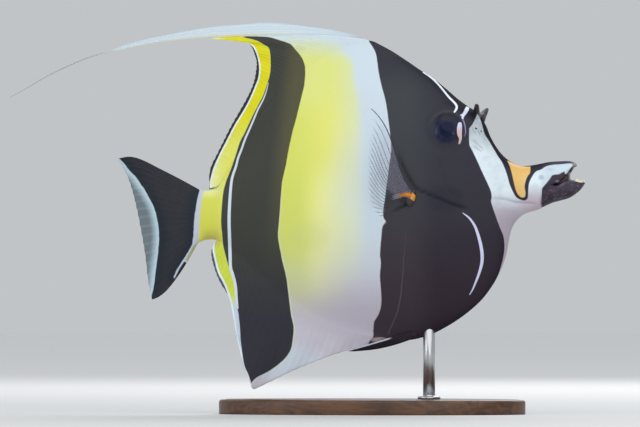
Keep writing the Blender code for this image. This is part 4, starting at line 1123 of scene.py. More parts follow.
    def finished(self):
        """Adds the grain of the scales, the fins' rays and a gloss that is lower on dark skin."""
        ground = self.pattern()
        tone = self.node("ShaderNodeRGBToBW")
        self.feed(tone.inputs[0], ground)
        light = tone.outputs[0]
        square_on = self.step(self.value("turned"), 0.12, 0.45, 1.0, 0.0)
        glare = self.sum("MAXIMUM", square_on, self.step(light, 0.04, 0.3))
        grain = self.bump(self.cells(2600), 0.00006, 0.5)
        ridges = self.all(self.rays, (self.value("out"), 0.0, 0.25))
        self.set(Specular_IOR_Level=self.all(glare, (light, 0.03, 0.30, 0.10, 0.28)))
        self.set(Base_Color=ground, Normal=self.bump(ridges, 0.00004, 0.6, grain))
        self.set(Roughness=self.step(self.cloud, 0.2, 0.8, 0.42, 0.58))
        return self.material


SKIN = FishSkin().finished()
print("skin nodes:", len(SKIN.node_tree.nodes))

# %% Make the skin
skin_mesh = Stitcher()
for flank_side in (-1, 1):
    stitch_side(skin_mesh, flank_side)
skin = skin_mesh.finish("skin", SKIN)
mark(skin)
MID_PLANE_FINS = ("dorsal_fin_front", "dorsal_fin_rear", "anal_fin", "tail_fin")
dressed(skin, "skin_white", "snout", "head", "trunk", "tail_stem", *MID_PLANE_FINS)

# %% [markdown]
# ## The long streamer
# The third dorsal spine and the rays beside it are drawn out into a white band that ends in a thread. It is
# modelled as a thin ridged ribbon, because light has to catch the separate rays that run along it.

# %% Draw out the streamer
STREAMER = [  # chart x, upper edge, lower edge, half thickness in mm
    (360, 37.0, 38.0, 0.50), (349, 33.5, 35.4, 0.60), (330, 29.1, 33.6, 0.65), (310, 26.0, 33.4, 0.70),
    (283, 23.2, 34.1, 0.70), (262, 22.7, 34.1, 0.70), (240, 24.4, 34.3, 0.65), (222, 25.7, 35.7, 0.60),
    (209, 27.0, 37.1, 0.55), (190, 30.0, 38.5, 0.50), (170, 33.8, 40.6, 0.45), (150, 37.6, 43.3, 0.42),
    (129.7, 42.8, 47.3, 0.40), (117.6, 46.6, 50.4, 0.38), (107.5, 49.9, 52.0, 0.34),
    (97.4, 53.0, 54.4, 0.30),
    (79.2, 59.2, 60.5, 0.28), (46.7, 73.9, 75.1, 0.25), (22.3, 87.9, 88.9, 0.20), (6, 96.7, 97.3, 0.12),
]
STREAMER_PROFILE = [(0, 0.45), (0.22, 1.0), (0.5, 0.72), (0.75, 0.62), (1, 0.35)]
STREAMER_FREE, STREAMER_DRIFT, STREAMER_RAYS = 205, 0.0050, 5


def streamer(columns=190, rows=21):
    """A ribbon of columns, ridged by its rays, that narrows to a thread and drifts to the fish's left."""
    ribbon = Stitcher()
    share = (1 - np.cos(np.pi * np.linspace(0, 1, rows))) / 2
    body = at(STREAMER_PROFILE, share)[:, 0] * np.sqrt(1 - np.abs(2 * share - 1) ** 7)
    ridges = 0.84 + 0.16 * np.cos(math.tau * share * STREAMER_RAYS)
    for side in (-1, 1):
        lines = []
        for n, place in enumerate(np.linspace(STREAMER[0][0], STREAMER[-1][0], columns)):
            upper, lower, half = at(sorted(STREAMER), place)[0]
            lower += 1.5 * float(smoothly(212, 228, place) * smoothly(358, 345, place))
            drift = STREAMER_DRIFT * max(0.0, (STREAMER_FREE - place) / STREAMER_FREE) ** 2
            x, z = metres(np.full(rows, place), upper + (lower - upper) * share)
            thick = half * body * ridges / 1000
            if n in (0, columns - 1):
                x, z, thick = x * 0 + x.mean(), z * 0 + z.mean(), thick * 0
            points = np.column_stack([x, drift + side * thick, z])
            lines.append(ribbon.add(points, drift, share * STREAMER_RAYS, n / columns))
        ribbon.sheet(lines)
    return ribbon


def streamer_finish():
    silk = Finish("streamer", roughness=0.42, Specular_IOR_Level=0.4)
    ray, out = silk.value("ray"), silk.value("out")
    grooves = silk.sum("COSINE", silk.sum("MULTIPLY", ray, math.tau))
    colour = silk.layer((188, 206, 218), (204, 219, 228), (ray, 0.0, 1.4))
    colour = silk.layer(colour, (212, 216, 198), (ray, 3.0, 4.4), (out, 0.10, 0.30))
    colour = silk.layer(colour, (150, 168, 190), (grooves, 0.1, -0.9), (out, 0.2, 0.6, 0.10, 0.30))
    colour = silk.layer(colour, (132, 142, 164), (ray, 0.5, 0.1), (out, 0.3, 0.1), 0.8)
    colour = silk.layer(colour, (178, 184, 172), (out, 0.64, 0.82))
    silk.set(Base_Color=colour, Normal=silk.bump(silk.noise(700, 3), 0.00004, 0.5))
    silk.set(Alpha=silk.step(out, 0.66, 0.9, 1.0, 0.6))
    return silk.material


dressed(streamer().finish("streamer", streamer_finish()), "skin_white", "dorsal_streamer")
# %% [markdown]
# ## The lower jaw
# The mouth is held a little open at the end of the snout. The jaw is one loop of points, swept from its tip
# back under the snout: two flanks that swell to the chin, rolled lips, and a trough for the tongue between.

# %% Shape the jaw
JAW_TOP = [
    (0, 583.2, 182.4), (0.08, 580.4, 181.7), (0.25, 574.5, 180.4), (0.45, 567.8, 180.2),
    (0.62, 561.6, 184.0), (0.77, 553.6, 189.6), (0.9, 548.6, 195.4), (1, 546.2, 201.6),
]
JAW_BOTTOM = [
    (0, 583.3, 184.4), (0.08, 582, 187), (0.25, 577.5, 192), (0.45, 569, 197.8), (0.62, 560, 200.6),
    (0.77, 552.5, 202.6), (0.9, 546.4, 205.2), (1, 542.6, 207.2),
]
JAW_WIDTHS = [
    (0, 1.7), (0.08, 2.6), (0.25, 3.5), (0.45, 4.1), (0.62, 4.4), (0.77, 4.7), (0.9, 4.8), (1, 4.5),
]
JAW_FLANK, JAW_TROUGH = 26, 11  # points down each flank and across the trough
CLOSING_TURNS = np.radians((18, 36, 54, 72, 90))
LINING_HALF = 0.0028


def jaw_loop(place):
    """A closed loop of the jaw at one place: down the near flank, up the far one, and across the trough."""
    raised = float(smoothly(0.65, 0.86, place))
    top = at(JAW_TOP, place)[0] + np.array((-2.2, -7.6)) * raised
    bottom = at(JAW_BOTTOM, place)[0]
    width = at(JAW_WIDTHS, place)[0, 0]
    angle = np.pi * np.linspace(0.10 + 0.22 * float(smoothly(0.45, 0.70, place)), 0.975, JAW_FLANK)
    share = (np.cos(angle[0]) - np.cos(angle)) / (np.cos(angle[0]) - np.cos(angle[-1]))
    lip = 0.22 * bell(share, 0.10) - 0.16 * bell(share - 0.24, 0.10)
    across = width * np.sin(angle) + lip * min(1.0, width / 3)
    chart_line = top + (bottom - top) * share[:, None]
    inside = np.linspace(1, -1, JAW_TROUGH + 2)[1:-1]
    hollow = top + np.outer(1 - inside**2, (0.5, 3.2)) * float(smoothly(0, 0.2, place))
    x, z = metres(*np.vstack([chart_line, chart_line[::-1], hollow]).T)
    y = np.concatenate([-across, across[::-1], across[0] * inside]) / 1000
    return np.column_stack([x, y, z])


def closing(loop, push, keenness=1.0):
    """Loops that shrink from an end loop to a point, pushed ahead on the way."""
    middle = loop.mean(0)
    return [middle + (loop - middle) * math.cos(turn) ** keenness + Vector((push, 0, 0)) * math.sin(turn)
            for turn in CLOSING_TURNS]


def jaw(columns=72):
    made = Stitcher()
    loops = [jaw_loop(place) for place in np.linspace(0, 1, columns)]
    down = np.linspace(0, 1, JAW_FLANK)
    level = np.concatenate([down, down[::-1], np.zeros(JAW_TROUGH)])
    inside = np.concatenate([np.zeros(2 * JAW_FLANK), np.sin(np.pi * np.linspace(0.1, 0.9, JAW_TROUGH))])
    loops = closing(loops[0], 0.0004)[::-1] + loops + closing(loops[-1], -0.0002, 0.4)
    made.tube([made.add(loop, level, inside) for loop in loops])
    return made


def mouth_lining(turns=15):
    """The skin at the corner of the mouth, between the two lips: a pillow with the gape's outline."""
    outline = smooth_path([
        (573.2, 167.4), (570.8, 170.4), (569.6, 174), (569.2, 178), (570.4, 180.8), (567.6, 183.6),
        (561, 187.6), (553, 187), (559, 178), (565.6, 172), (570, 167.4), (573.2, 167.4),
    ])[:-1]
    middle = outline.mean(0)
    made, rings = Stitcher(), []
    for across in np.sin(np.linspace(-0.5, 0.5, turns) * np.pi):
        ring = middle + (outline - middle) * (1 - abs(across) ** 3) ** 0.5
        x, z = metres(*ring.T)
        front = smoothly(568.0, 570.2, ring[:, 0])
        rings.append(made.add(np.column_stack([x, np.full(len(x), LINING_HALF * across), z]), front))
    made.tube(rings)
    return made


# %% Paint the mouth and make it
def lining_finish():
    wet = Finish("mouth_lining", roughness=0.3, Specular_IOR_Level=0.45)
    colour = wet.layer((38, 22, 26), (58, 34, 36), (wet.noise(900, 3), 0.3, 0.7))
    wet.set(Base_Color=wet.layer(colour, (124, 108, 90), wet.value("front")))
    return wet.material


def jaw_finish():
    hide = Finish("jaw", roughness=0.45, Specular_IOR_Level=0.16, Coat_Weight=0.05, Coat_Roughness=0.25)
    parts = hide.node("ShaderNodeSeparateXYZ")
    hide.feed(parts.inputs[0], hide.place)
    ahead = (parts.outputs["X"], metres(556, 0)[0], metres(566, 0)[0])
    level = hide.value("level")
    colour = hide.layer((50, 43, 52), (68, 60, 76), (hide.noise(260, 4), 0.35, 0.75))
    # painted highlight along the upper rim of the jaw's front
    colour = hide.layer(colour, (92, 90, 108), (level, 0.30, 0.05), ahead)
    # painted shade along the jaw's underside
    colour = hide.layer(colour, (30, 26, 28), (level, 0.80, 1.0))
    colour = hide.layer(colour, (112, 100, 118), (hide.noise(900, 2), 0.56, 0.68), 0.6)
    colour = hide.layer(colour, (150, 128, 112), (hide.value("inside"), 0.2, 0.8))
    hide.set(Base_Color=colour, Normal=hide.bump(hide.cells(2400), 0.00006, 0.5))
    return hide.material


dressed(jaw().finish("jaw", jaw_finish(), ("level", "inside")), "skin_black", "lower_jaw")
dressed(mouth_lining().finish("mouth_lining", lining_finish(), ("front",)), "skin_black")
# %% [markdown]
# ### Bristle teeth
# The family's teeth are long thin bristles that lean forward over the lip. One bent bristle repeats along
# the rim of the jaw, so a Geometry Nodes tree places it, with a fixed seed for the small differences.

# %% Place the teeth
def tree_for(name, sockets):
    """An empty Geometry Nodes tree with a geometry input, named inputs and a geometry output."""
    tree = bpy.data.node_groups.new(name, "GeometryNodeTree")
    for label, kind in {"Geometry": "Geometry", **sockets}.items():
        tree.interface.new_socket(label, in_out="INPUT", socket_type="NodeSocket" + kind)
    tree.interface.new_socket("Geometry", in_out="OUTPUT", socket_type="NodeSocketGeometry")
    return tree, tree.nodes.new("NodeGroupInput"), tree.nodes.new("NodeGroupOutput")


def wired(tree, links):
    """Links nodes; each link is written (node, output, node, input)."""
    for giver, output, taker, socket in links:
        tree.links.new(giver.outputs[output], taker.inputs[socket])
    return tree


def maths(tree, operation, number):
    """A node that takes a value to a power, or multiplies it."""
    node = tree.nodes.new("ShaderNodeMath")
    node.operation = operation
    node.inputs[1].default_value = number
    return node


def grown(name, tree, points, edges, attributes, values):
    """Feeds a line of points through a tree and keeps the finished mesh."""
    seed = bpy.data.meshes.new(name)
    seed.from_pydata(points, edges, [])
    for label, numbers in attributes.items():
        write(seed, label, numbers)
    obj = placed(name, seed)
    modifier = obj.modifiers.new(name, "NODES")
    modifier.node_group = tree
    for item in tree.interface.items_tree:
        if item.in_out == "INPUT" and item.name in values:
            modifier[item.identifier] = values[item.name]
    graph = bpy.context.evaluated_depsgraph_get()
    mesh = bpy.data.meshes.new_from_object(obj.evaluated_get(graph))
    obj.modifiers.clear()
    obj.data = mesh
    mesh.shade_smooth()
    print(name, "triangles:", triangles(mesh))
    return obj


def tooth_tree(material):
    """Bent cones of slightly uneven length, spaced along a line and leaning forward."""
    sockets = {"Count": "Int", "Length": "Float", "Lean": "Float", "Seed": "Int"}
    tree, given, result = tree_for("teeth", sockets)
    new = tree.nodes.new
    rim, row = new("GeometryNodeMeshToCurve"), new("GeometryNodeResampleCurve")
    bristle, bent = new("GeometryNodeMeshCone"), new("GeometryNodeSetPosition")
    cone = {"Vertices": 12, "Side Segments": 8, "Radius Top": 0.00012, "Radius Bottom": 0.00024}
    for label, value in cone.items():
        bristle.inputs[label].default_value = value
    place, parts = new("GeometryNodeInputPosition"), new("ShaderNodeSeparateXYZ")
    shift, leaning = new("ShaderNodeCombineXYZ"), new("ShaderNodeCombineXYZ")
    square, curl = maths(tree, "POWER", 2.0), maths(tree, "MULTIPLY", -60.0)
    size = new("FunctionNodeRandomValue")
    size.data_type = "FLOAT"
    size.inputs[2].default_value, size.inputs[3].default_value = 0.85, 1.12
    spread, real = new("GeometryNodeInstanceOnPoints"), new("GeometryNodeRealizeInstances")
    coat = new("GeometryNodeSetMaterial")
    coat.inputs["Material"].default_value = material
    return wired(tree, [
        (given, "Geometry", rim, "Mesh"), (rim, 0, row, "Curve"), (given, "Count", row, "Count"),
        (given, "Length", bristle, "Depth"), (bristle, "Mesh", bent, "Geometry"),
        (place, 0, parts, 0), (parts, "Z", square, 0), (square, 0, curl, 0), (curl, 0, shift, "X"),
        (shift, 0, bent, "Offset"), (given, "Lean", leaning, "Y"), (given, "Seed", size, "Seed"),
        (row, 0, spread, "Points"), (bent, 0, spread, "Instance"), (leaning, 0, spread, "Rotation"),
        (size, 1, spread, "Scale"), (spread, 0, real, 0), (real, 0, coat, "Geometry"),
        (coat, 0, result, "Geometry"),
    ])


ivory = Finish("tooth", roughness=0.3, Specular_IOR_Level=0.5)
ivory.set(Base_Color=ivory.layer((240, 232, 214), (218, 206, 184), ivory.noise(1500, 2)))
TOOTH_ROW = [  # place along the jaw, share of its half width
    (0.215, 0.66), (0.16, 0.74), (0.10, 0.76), (0.05, 0.66), (0.02, 0.4), (0.0, 0.12),
]
rim = []
for place, share in TOOTH_ROW:
    x, z = metres(*(at(JAW_TOP, place)[0] + np.array((0.0, 0.9))))
    rim.append((x, -at(JAW_WIDTHS, place)[0, 0] * share / 1000, z))
rim += [(x, -y, z) for x, y, z in reversed(rim)]
rim_edges = [(n, n + 1) for n in range(len(rim) - 1)]
tooth_values = {"Count": 31, "Length": 0.0011, "Lean": math.radians(24), "Seed": 4}
dressed(grown("teeth", tooth_tree(ivory.material), rim, rim_edges, {}, tooth_values), "skin_white")

# %% [markdown]
# ## Eyes
# The eye is a flattened ball under a clear wet coat. It is nearly all dark, with a black pupil in a deep
# blue iris, and a bright pinkish crescent shows only at its front edge. Rings of a lathe keep it smooth.

# %% Turn the eyes
def lathe(name, profile, turns, centre, side, material):
    """Turns a profile of (radius, height) about an axis that points out of the flank."""
    made, rings = Stitcher(), []
    angles = np.linspace(0, math.tau, turns, endpoint=False)
    for radius, height in profile:
        forward, up = radius * np.cos(angles), radius * np.sin(angles)
        tilt = radius * (EYE_TILT[0] * np.cos(angles) + EYE_TILT[1] * np.sin(angles))
        points = np.column_stack([centre[0] + forward, centre[1] + side * (height + tilt), centre[2] + up])
        rings.append(made.add(points, radius * 1000, forward * 1000, up * 1000))
    made.tube(rings)
    return made.finish(name, material, ("from_middle", "forward", "up"))


def eye_finish():
    eye = Finish("eye", 0.2, Specular_IOR_Level=0.12, Coat_Weight=0.14, Coat_Roughness=0.03, Coat_IOR=1.38)
    away, up, crescent = eye.value("from_middle"), eye.value("up"), eye.value("crescent")
    iris = eye.layer((22, 28, 54), (32, 40, 60), (eye.noise(900, 4), 0.40, 0.70))
    # painted reflection of the light above, greying the iris's upper part
    iris = eye.layer(iris, (34, 40, 52), (up, 1.5, 5.0))
    colour = eye.layer((8, 14, 50), iris, (away, 2.6, 3.6))
    rim = eye.layer((52, 52, 62), (28, 30, 38), (eye.sum("ADD", up, eye.value("forward")), -3.0, 4.0))
    colour = eye.layer(colour, rim, (away, 4.5, 6.3))
    colour = eye.layer(colour, (38, 26, 34), (crescent, -0.9, -0.2))
    pearl = eye.layer((208, 184, 188), (206, 210, 238), (up, -0.8, 1.6))
    pearl = eye.layer(pearl, (190, 170, 174), (up, -2.4, -4.4))
    eye.set(Base_Color=eye.layer(colour, pearl, (crescent, -0.15, 0.15)))
    return eye.material


def eye_profile(widest=0.0073, depth=0.0042, steps=40):
    """Rings of (radius, height over the rim's level) from the back of the eye, round to its crown."""
    edge = EYE_RISE * (1 - (widest / EYE_RIM) ** 2)
    back = [(widest * math.sin(t), edge - depth * math.cos(t)) for t in np.linspace(0, math.pi / 2, 14)]
    front = [(r, EYE_RISE * (1 - (r / EYE_RIM) ** 2)) for r in np.linspace(widest, 0, steps)[1:]]
    return back + front


EYE_FINISH = eye_finish()
HANDS = (("right", -1), ("left", 1))
for hand, side in HANDS:
    ahead, up = eye_middle()
    eye = lathe("eyeball_" + hand, eye_profile(), 96, (ahead, side * EYE_LEVEL, up), side, EYE_FINISH)
    write(eye.data, "crescent", within([CRESCENT], *seen(points_of(eye.data), 0.0)))
    dressed(eye, "eye", "eye_" + hand)

# %% [markdown]
# ## Horns
# A grown moorish idol has a short bony horn before each eye. The two on this fish aren't quite alike. Each
# is a ridged thorn that grows out of a flared foot, bent a little forward, and darkest at its tip.

# %% Grow the horns
HORNS = {  # foot, tip, radius at the foot and at the tip, and bend
    "right": ((476.5, 115.0), (480.4, 104.7), 0.00160, 0.00074, 0.0002),
    "left": ((478.6, 117.5), (483.6, 108.2), 0.00175, 0.00056, -0.0003),
}
HORN_OUT = 0.0092  # metres from the mid-plane to the tip
HORN_SUNK, HORN_FLARE = 0.0016, 0.0006  # how deep the root sits, and how much wider the foot is


def skin_at(tree, x, z, side):
    """The point of a flank at this place, found from outside."""
    return tree.ray_cast(Vector((x, side * 0.05, z)), Vector((0, -side, 0)))[0]


def horn(hand, side, tree, rings=26, sides=36):
    foot_spot, tip_spot, root_radius, tip_radius, bend = HORNS[hand]
    foot = skin_at(tree, *metres(*foot_spot), side)
    tip_x, tip_z = metres(*tip_spot)
    tip = Vector((tip_x, side * HORN_OUT, tip_z))
    start = foot - (tip - foot).normalized() * HORN_SUNK
    turn = (tip - start).normalized().to_track_quat("Z", "Y").to_matrix()
    made, loops = Stitcher(), []
    angles = np.linspace(0, math.tau, sides, endpoint=False)
    for t in np.append(np.linspace(0, 0.94, rings), [0.965, 0.985, 0.997, 1.0]):
        radius = root_radius + (tip_radius - root_radius) * t**1.4
        radius += HORN_FLARE * math.exp(-((t / 0.28) ** 2))
        radius *= math.sqrt(max(0.0, 1 - max(0.0, (t - 0.90) / 0.10) ** 2))
        ridged = radius * (1 + 0.06 * np.cos(angles * 8) * (1 - t))
        spine = start + (tip - start) * float(t) + turn @ Vector((bend * 4 * t * (1 - t), 0, 0))
        around = np.column_stack([ridged * np.cos(angles), ridged * np.sin(angles), 0 * angles])
        loops.append(made.add(np.array(spine) + around @ np.array(turn).T, float(t)))
    made.tube(loops)
    made.faces.append(tuple(loops[0]))
    return made


def horn_finish():
    bone = Finish("horn", roughness=0.42, Specular_IOR_Level=0.5)
    colour = bone.layer((48, 42, 54), (22, 24, 24), (bone.value("up_the_horn"), 0.15, 0.7))
    colour = bone.layer(colour, (190, 202, 210), (bone.value("face"), -0.2, 0.2))
    bone.set(Base_Color=colour, Normal=bone.bump(bone.noise(1500, 4), 0.00008, 0.7))
    return bone.material


skin_corners = [v.co for v in skin.data.vertices]
SKIN_TREE = BVHTree.FromPolygons(skin_corners, [tuple(p.vertices) for p in skin.data.polygons])
HORN_FINISH = horn_finish()
for hand, side in HANDS:
    thorn = horn(hand, side, SKIN_TREE).finish("thorn_" + hand, HORN_FINISH, ("up_the_horn",))
    face = -np.ones(len(thorn.data.vertices))
    if hand == "right":
        face = within(FACE, *seen(points_of(thorn.data), 0.0))
    write(thorn.data, "face", face)
    dressed(thorn, "skin_black", "horn_" + hand)

# %% [markdown]
# ### Nostrils
# Two small openings lie before the eye on the white of the face. Each is a low rim around a dark pit.

# %% Set the nostrils
NOSTRILS = [  # seen column and row, half length and half width in mm, lean in degrees
    (475.6, 128.8, 0.86, 0.46, -28), (480.6, 131.6, 0.66, 0.52, 75),
]
NOSTRIL_PROFILE = [  # share of its size, height over the skin in mm
    (0.0, 0.05), (0.45, 0.05), (0.65, 0.09), (0.85, 0.15), (1.05, 0.14), (1.3, 0.02), (1.5, -0.25),
    (0.0, -0.5),
]


def spot_seen(column, row, side):
    """The point of the skin that is seen at this column and row of the chart."""
    place = column
    for _ in range(6):
        spot = skin_at(SKIN_TREE, *metres(place, row), side)
        place = column + abs(spot.y) * SLIDE
    return spot


def nostril(spot, side, length, width, lean):
    """Oval rings that lie on the skin about a spot."""
    normal = SKIN_TREE.find_nearest(spot)[1]
    if normal.y * side < 0:
        normal = -normal
    along = Vector((math.cos(math.radians(lean)), 0, math.sin(math.radians(lean))))
    along = (along - normal * along.dot(normal)).normalized()
    across = normal.cross(along)
    made, rings = Stitcher(), []
    turns = np.linspace(0, math.tau, 28, endpoint=False)
    for share, height in NOSTRIL_PROFILE:
        ring = (np.array(spot + normal * height / 1000)
                + np.outer(np.cos(turns) * share * length / 1000, along)
                + np.outer(np.sin(turns) * share * width / 1000, across))
        rings.append(made.add(ring, share))
    made.tube(rings)
    return made


pore = Finish("nostril_rim")
# the pit's dark is painted shade inside the opening; the rim keeps the face's white
pore.set(Base_Color=pore.layer((22, 26, 32), (184, 192, 202), (pore.value("share"), 0.55, 0.85)))
for column, row, *sizes in NOSTRILS:
    for side in (-1, 1):
        made = nostril(spot_seen(column, row, side), side, *sizes)
        dressed(made.finish("nostril", pore.material, ("share",)), "skin_white")
# %% [markdown]
# ## Pectoral and pelvic fins
# The pectoral fin is a clear fan. Its rays show and its membrane barely does, so the two are separate: a
# thin see-through sheet, and eighteen jointed rays swept along it by Geometry Nodes, each one forked.
# The pelvic fins are narrow dark blades that lie back along the belly.

# %% Lay out the paired fins
PECTORAL_ROOT = [(0, 418, 191.5), (1, 413.5, 205)]
PECTORAL_MARGIN = [
    (0, 381.5, 109), (0.2, 378.5, 134), (0.42, 376, 158), (0.62, 375, 180), (0.78, 376, 199),
    (0.9, 381, 213), (1, 391, 220),
]
PECTORAL_BOWS = [  # share, how far the ray bows towards the head in metres, and how much more further out
    (0, -0.0018, 0.0061), (0.12, -0.0046, 0.0058), (0.24, -0.0062, 0.0062), (0.53, -0.0056, 0.0031),
    (0.72, -0.0042, 0.0012), (0.88, -0.0014, 0), (1, 0, 0),
]
PECTORAL_RAYS, PECTORAL_LIFT = 18, math.radians(17)
PELVIC_ROOT = [(0, 411, 331.5), (1, 417.5, 335.6)]
PELVIC_MARGIN = [(0, 350, 350.4), (0.6, 352, 351.4), (1, 368, 350.0)]
PELVIC_BOWS = [(0, 0, 0), (1, -0.0009, 0)]
PELVIC_RAYS, PELVIC_LIFT = 6, math.radians(-2)

def fan(root_table, margin, bows, lift, side, off, cup):
    """A paired fin's middle surface: a function of the share across the fan and the share of the way out."""
    samples = np.linspace(0, 1, 7)
    starts = [skin_at(SKIN_TREE, *metres(*at(root_table, share)[0]), side) for share in samples]
    table = np.column_stack([samples, np.array(starts) + (0, side * off, 0)])

    def place(share, out):
        share, out = (part.ravel() for part in np.broadcast_arrays(share, out))
        start, (tip_x, tip_z) = at(table, share), metres(*at(margin, share).T)
        ahead, up = tip_x - start[:, 0], tip_z - start[:, 2]
        reach = np.hypot(ahead, up)
        end = np.column_stack([tip_x, start[:, 1] + side * reach * math.tan(lift), tip_z])
        points = start + (end - start) * out[:, None]
        points[:, 1] += side * reach * cup * out * (1 - out)
        start_bow, rise = at(bows, share).T
        bow = 4 * out * (1 - out) * (start_bow + rise * out) / reach
        return points + np.column_stack([bow * up, 0 * bow, -bow * ahead])

    return place


def blade(place, half, across, rows):
    """A closed thin sheet on a fin's middle surface; half(share, out) gives its half thickness."""
    share, out = np.linspace(0, 1, across)[:, None], np.linspace(0, 1, rows)[None, :]
    grid = place(share, out).reshape(across, rows, 3)
    normal = np.cross(np.gradient(grid, axis=0), np.gradient(grid, axis=1))
    normal /= np.linalg.norm(normal, axis=2)[:, :, None]
    edge = np.sqrt((1 - np.abs(2 * share - 1) ** 40) * (1 - out**60))
    thick = (half(share, out) * edge)[:, :, None]
    made, starts = Stitcher(), []
    for side in (-1, 1):
        surface = grid + side * normal * thick
        lines = [made.add(surface[n], 0, share[n], out[0]) for n in range(across)]
        made.sheet(lines)
        starts.append([line[0] for line in lines])
    made.stitch(*starts)
    return made


def fin_root(name, side, root_table, size, material):
    """The fleshy foot of a paired fin: a smooth lobe, half sunk in the flank, along the fin's root."""
    ends = [np.array(metres(*at(root_table, share)[0])) for share in (0, 1)]
    middle, along = (ends[0] + ends[1]) / 2, ends[1] - ends[0]
    centre = np.array(skin_at(SKIN_TREE, *middle, side))
    lean = np.array(Matrix.Rotation(math.atan2(along[0], along[1]), 3, "Y")).T
    made, rings = Stitcher(), []
    angles = np.linspace(0, math.tau, 40, endpoint=False)
    for turn in np.linspace(-math.pi / 2, math.pi / 2, 26):
        x, y = size[0] * math.cos(turn) * np.cos(angles), size[1] * math.cos(turn) * np.sin(angles)
        ring = np.column_stack([x, y, np.full(40, size[2] * math.sin(turn))])
        rings.append(made.add(centre + ring @ lean))
    made.tube(rings)
    return made.finish(name, material)


print("paired fins:", PECTORAL_RAYS, "and", PELVIC_RAYS, "rays")


# %% The rays' tree
def ray_tree(material):
    """Sweeps a circle along every line, as thick as the line's own attribute says."""
    tree, given, result = tree_for("rays", {"Sides": "Int"})
    new = tree.nodes.new
    path, circle = new("GeometryNodeMeshToCurve"), new("GeometryNodeCurvePrimitiveCircle")
    swept, thick = new("GeometryNodeCurveToMesh"), new("GeometryNodeInputNamedAttribute")
    coat = new("GeometryNodeSetMaterial")
    thick.data_type = "FLOAT"
    thick.inputs["Name"].default_value = "thickness"
    circle.inputs["Radius"].default_value = 1.0
    swept.inputs["Fill Caps"].default_value = True
    coat.inputs["Material"].default_value = material
    return wired(tree, [
        (given, "Sides", circle, "Resolution"), (given, "Geometry", path, "Mesh"), (path, 0, swept, "Curve"),
        (circle, 0, swept, "Profile Curve"), (thick, "Attribute", swept, "Scale"),
        (swept, 0, coat, "Geometry"), (coat, 0, result, "Geometry"),
    ])


RAY_HALF, FIRST_RAY_HALF = 0.00023, 0.00038  # half thickness at the root, in metres
JOINTS = 170  # how quickly the beads of a jointed ray follow each other


def ray_lines(place, count, fork_from, steps=46):
    """Centre lines of a fan's rays, forked but for the outer two, and values for each of their points."""
    points, edges = [], []
    values = {"thickness": [], "out": [], "leading": [], "share": []}
    out = np.linspace(0, 0.995, steps)
    for ray in range(count + 1):
        for fork in ((-1, 1) if 0 < ray < count else (0,)):
            share = (ray + fork * 0.2 * smoothly(fork_from, 1.0, out)) / count
            first = len(points)
            points += [tuple(p) for p in place(share, out)]
            edges += [(first + n, first + n + 1) for n in range(steps - 1)]
            joints = 1 + 0.22 * np.cos(out * JOINTS + ray) * smoothly(0.2, 0.4, out)
            base = RAY_HALF if ray else FIRST_RAY_HALF
            values["thickness"] += list(base * (1 - 0.62 * out) * joints * (0.8 if fork else 1.0))
            values["out"] += list(out)
            values["leading"] += [0.0 if ray else 1.0] * steps
            values["share"] += [ray / count] * steps
    return points, edges, values


print("rays in a pectoral fin:", PECTORAL_RAYS + 1)

# %% Paint the pectoral fins
COMMA = [
    [(386, 199.6), (390, 196.4), (396, 194.2), (401, 193.4), (406, 191.9), (411.4, 192.4), (415.2, 195.6),
     (417, 199.2)],
    [(417, 199.2), (415.2, 202), (412, 200), (408.6, 197.6), (404, 196.6), (397, 198.4), (390, 200.2),
     (386, 199.6)],
]
TAN, RUST = (226, 158, 48), (196, 126, 34)


def film_finish():
    """A faint bluish veil, with the orange comma at the fin's root."""
    film = Finish("fin_film", Specular_IOR_Level=0.1)
    inside, trail = film.value("comma"), film.value("trail")
    tan = film.layer(TAN, RUST, film.noise(700, 3))
    tan = film.layer((150, 84, 44), tan, (inside, 0.1, 1.1))
    tan = film.layer(tan, (84, 76, 44), (trail, 0.0, 0.9))
    comma = film.all((inside, -0.3, 0.35), (trail, 1.0, 0.25))
    film.set(Base_Color=film.layer((164, 160, 184), tan, comma))
    film.set(Normal=film.bump(film.noise(900, 3), 0.00003, 0.2))
    film.set(Alpha=film.sum("MAXIMUM", comma, film.all(film.value("veil"), 0.13)))
    return film.material


def ray_finish():
    """Beaded rays, grey over the pale flank and nearly lost over the dark one; the first is a solid dark."""
    bone = Finish("fin_ray", roughness=0.45, Specular_IOR_Level=0.15)
    out, leading = bone.value("out"), bone.value("leading")
    beads = bone.sum("SINE", bone.sum("MULTIPLY", out, float(JOINTS)))
    on_pale = bone.step(bone.value("over"), 0.3, -0.3)
    colour = bone.layer((160, 178, 194), (92, 106, 128), (beads, -0.6, 0.3))
    colour = bone.layer((112, 104, 124), colour, on_pale)
    # the first ray is painted a solid dark, standing in for the shadow along the fin's front edge
    bone.set(Base_Color=bone.layer(colour, (58, 58, 74), leading))
    faint = bone.step(bone.value("share"), 0.5, 0.3, 0.0, 0.08)
    shown = bone.all(bone.sum("MULTIPLY_ADD", on_pale, 0.72, faint), (out, 1.0, 0.72))
    bone.set(Alpha=bone.sum("MAXIMUM", leading, shown))
    return bone.material


def root_finish():
    root = Finish("fin_root", roughness=0.45)
    tan = root.layer(TAN, RUST, root.noise(700, 3))
    root.set(Base_Color=root.layer((50, 46, 52), tan, (root.value("comma"), -0.15, 0.15)))
    return root.material


# %% Make the pectoral fins
def film_half(share, out):
    """Half the film's thickness, which grows towards the root."""
    return 0.00007 + 0.00035 * (1 - out) ** 3 + 0 * share


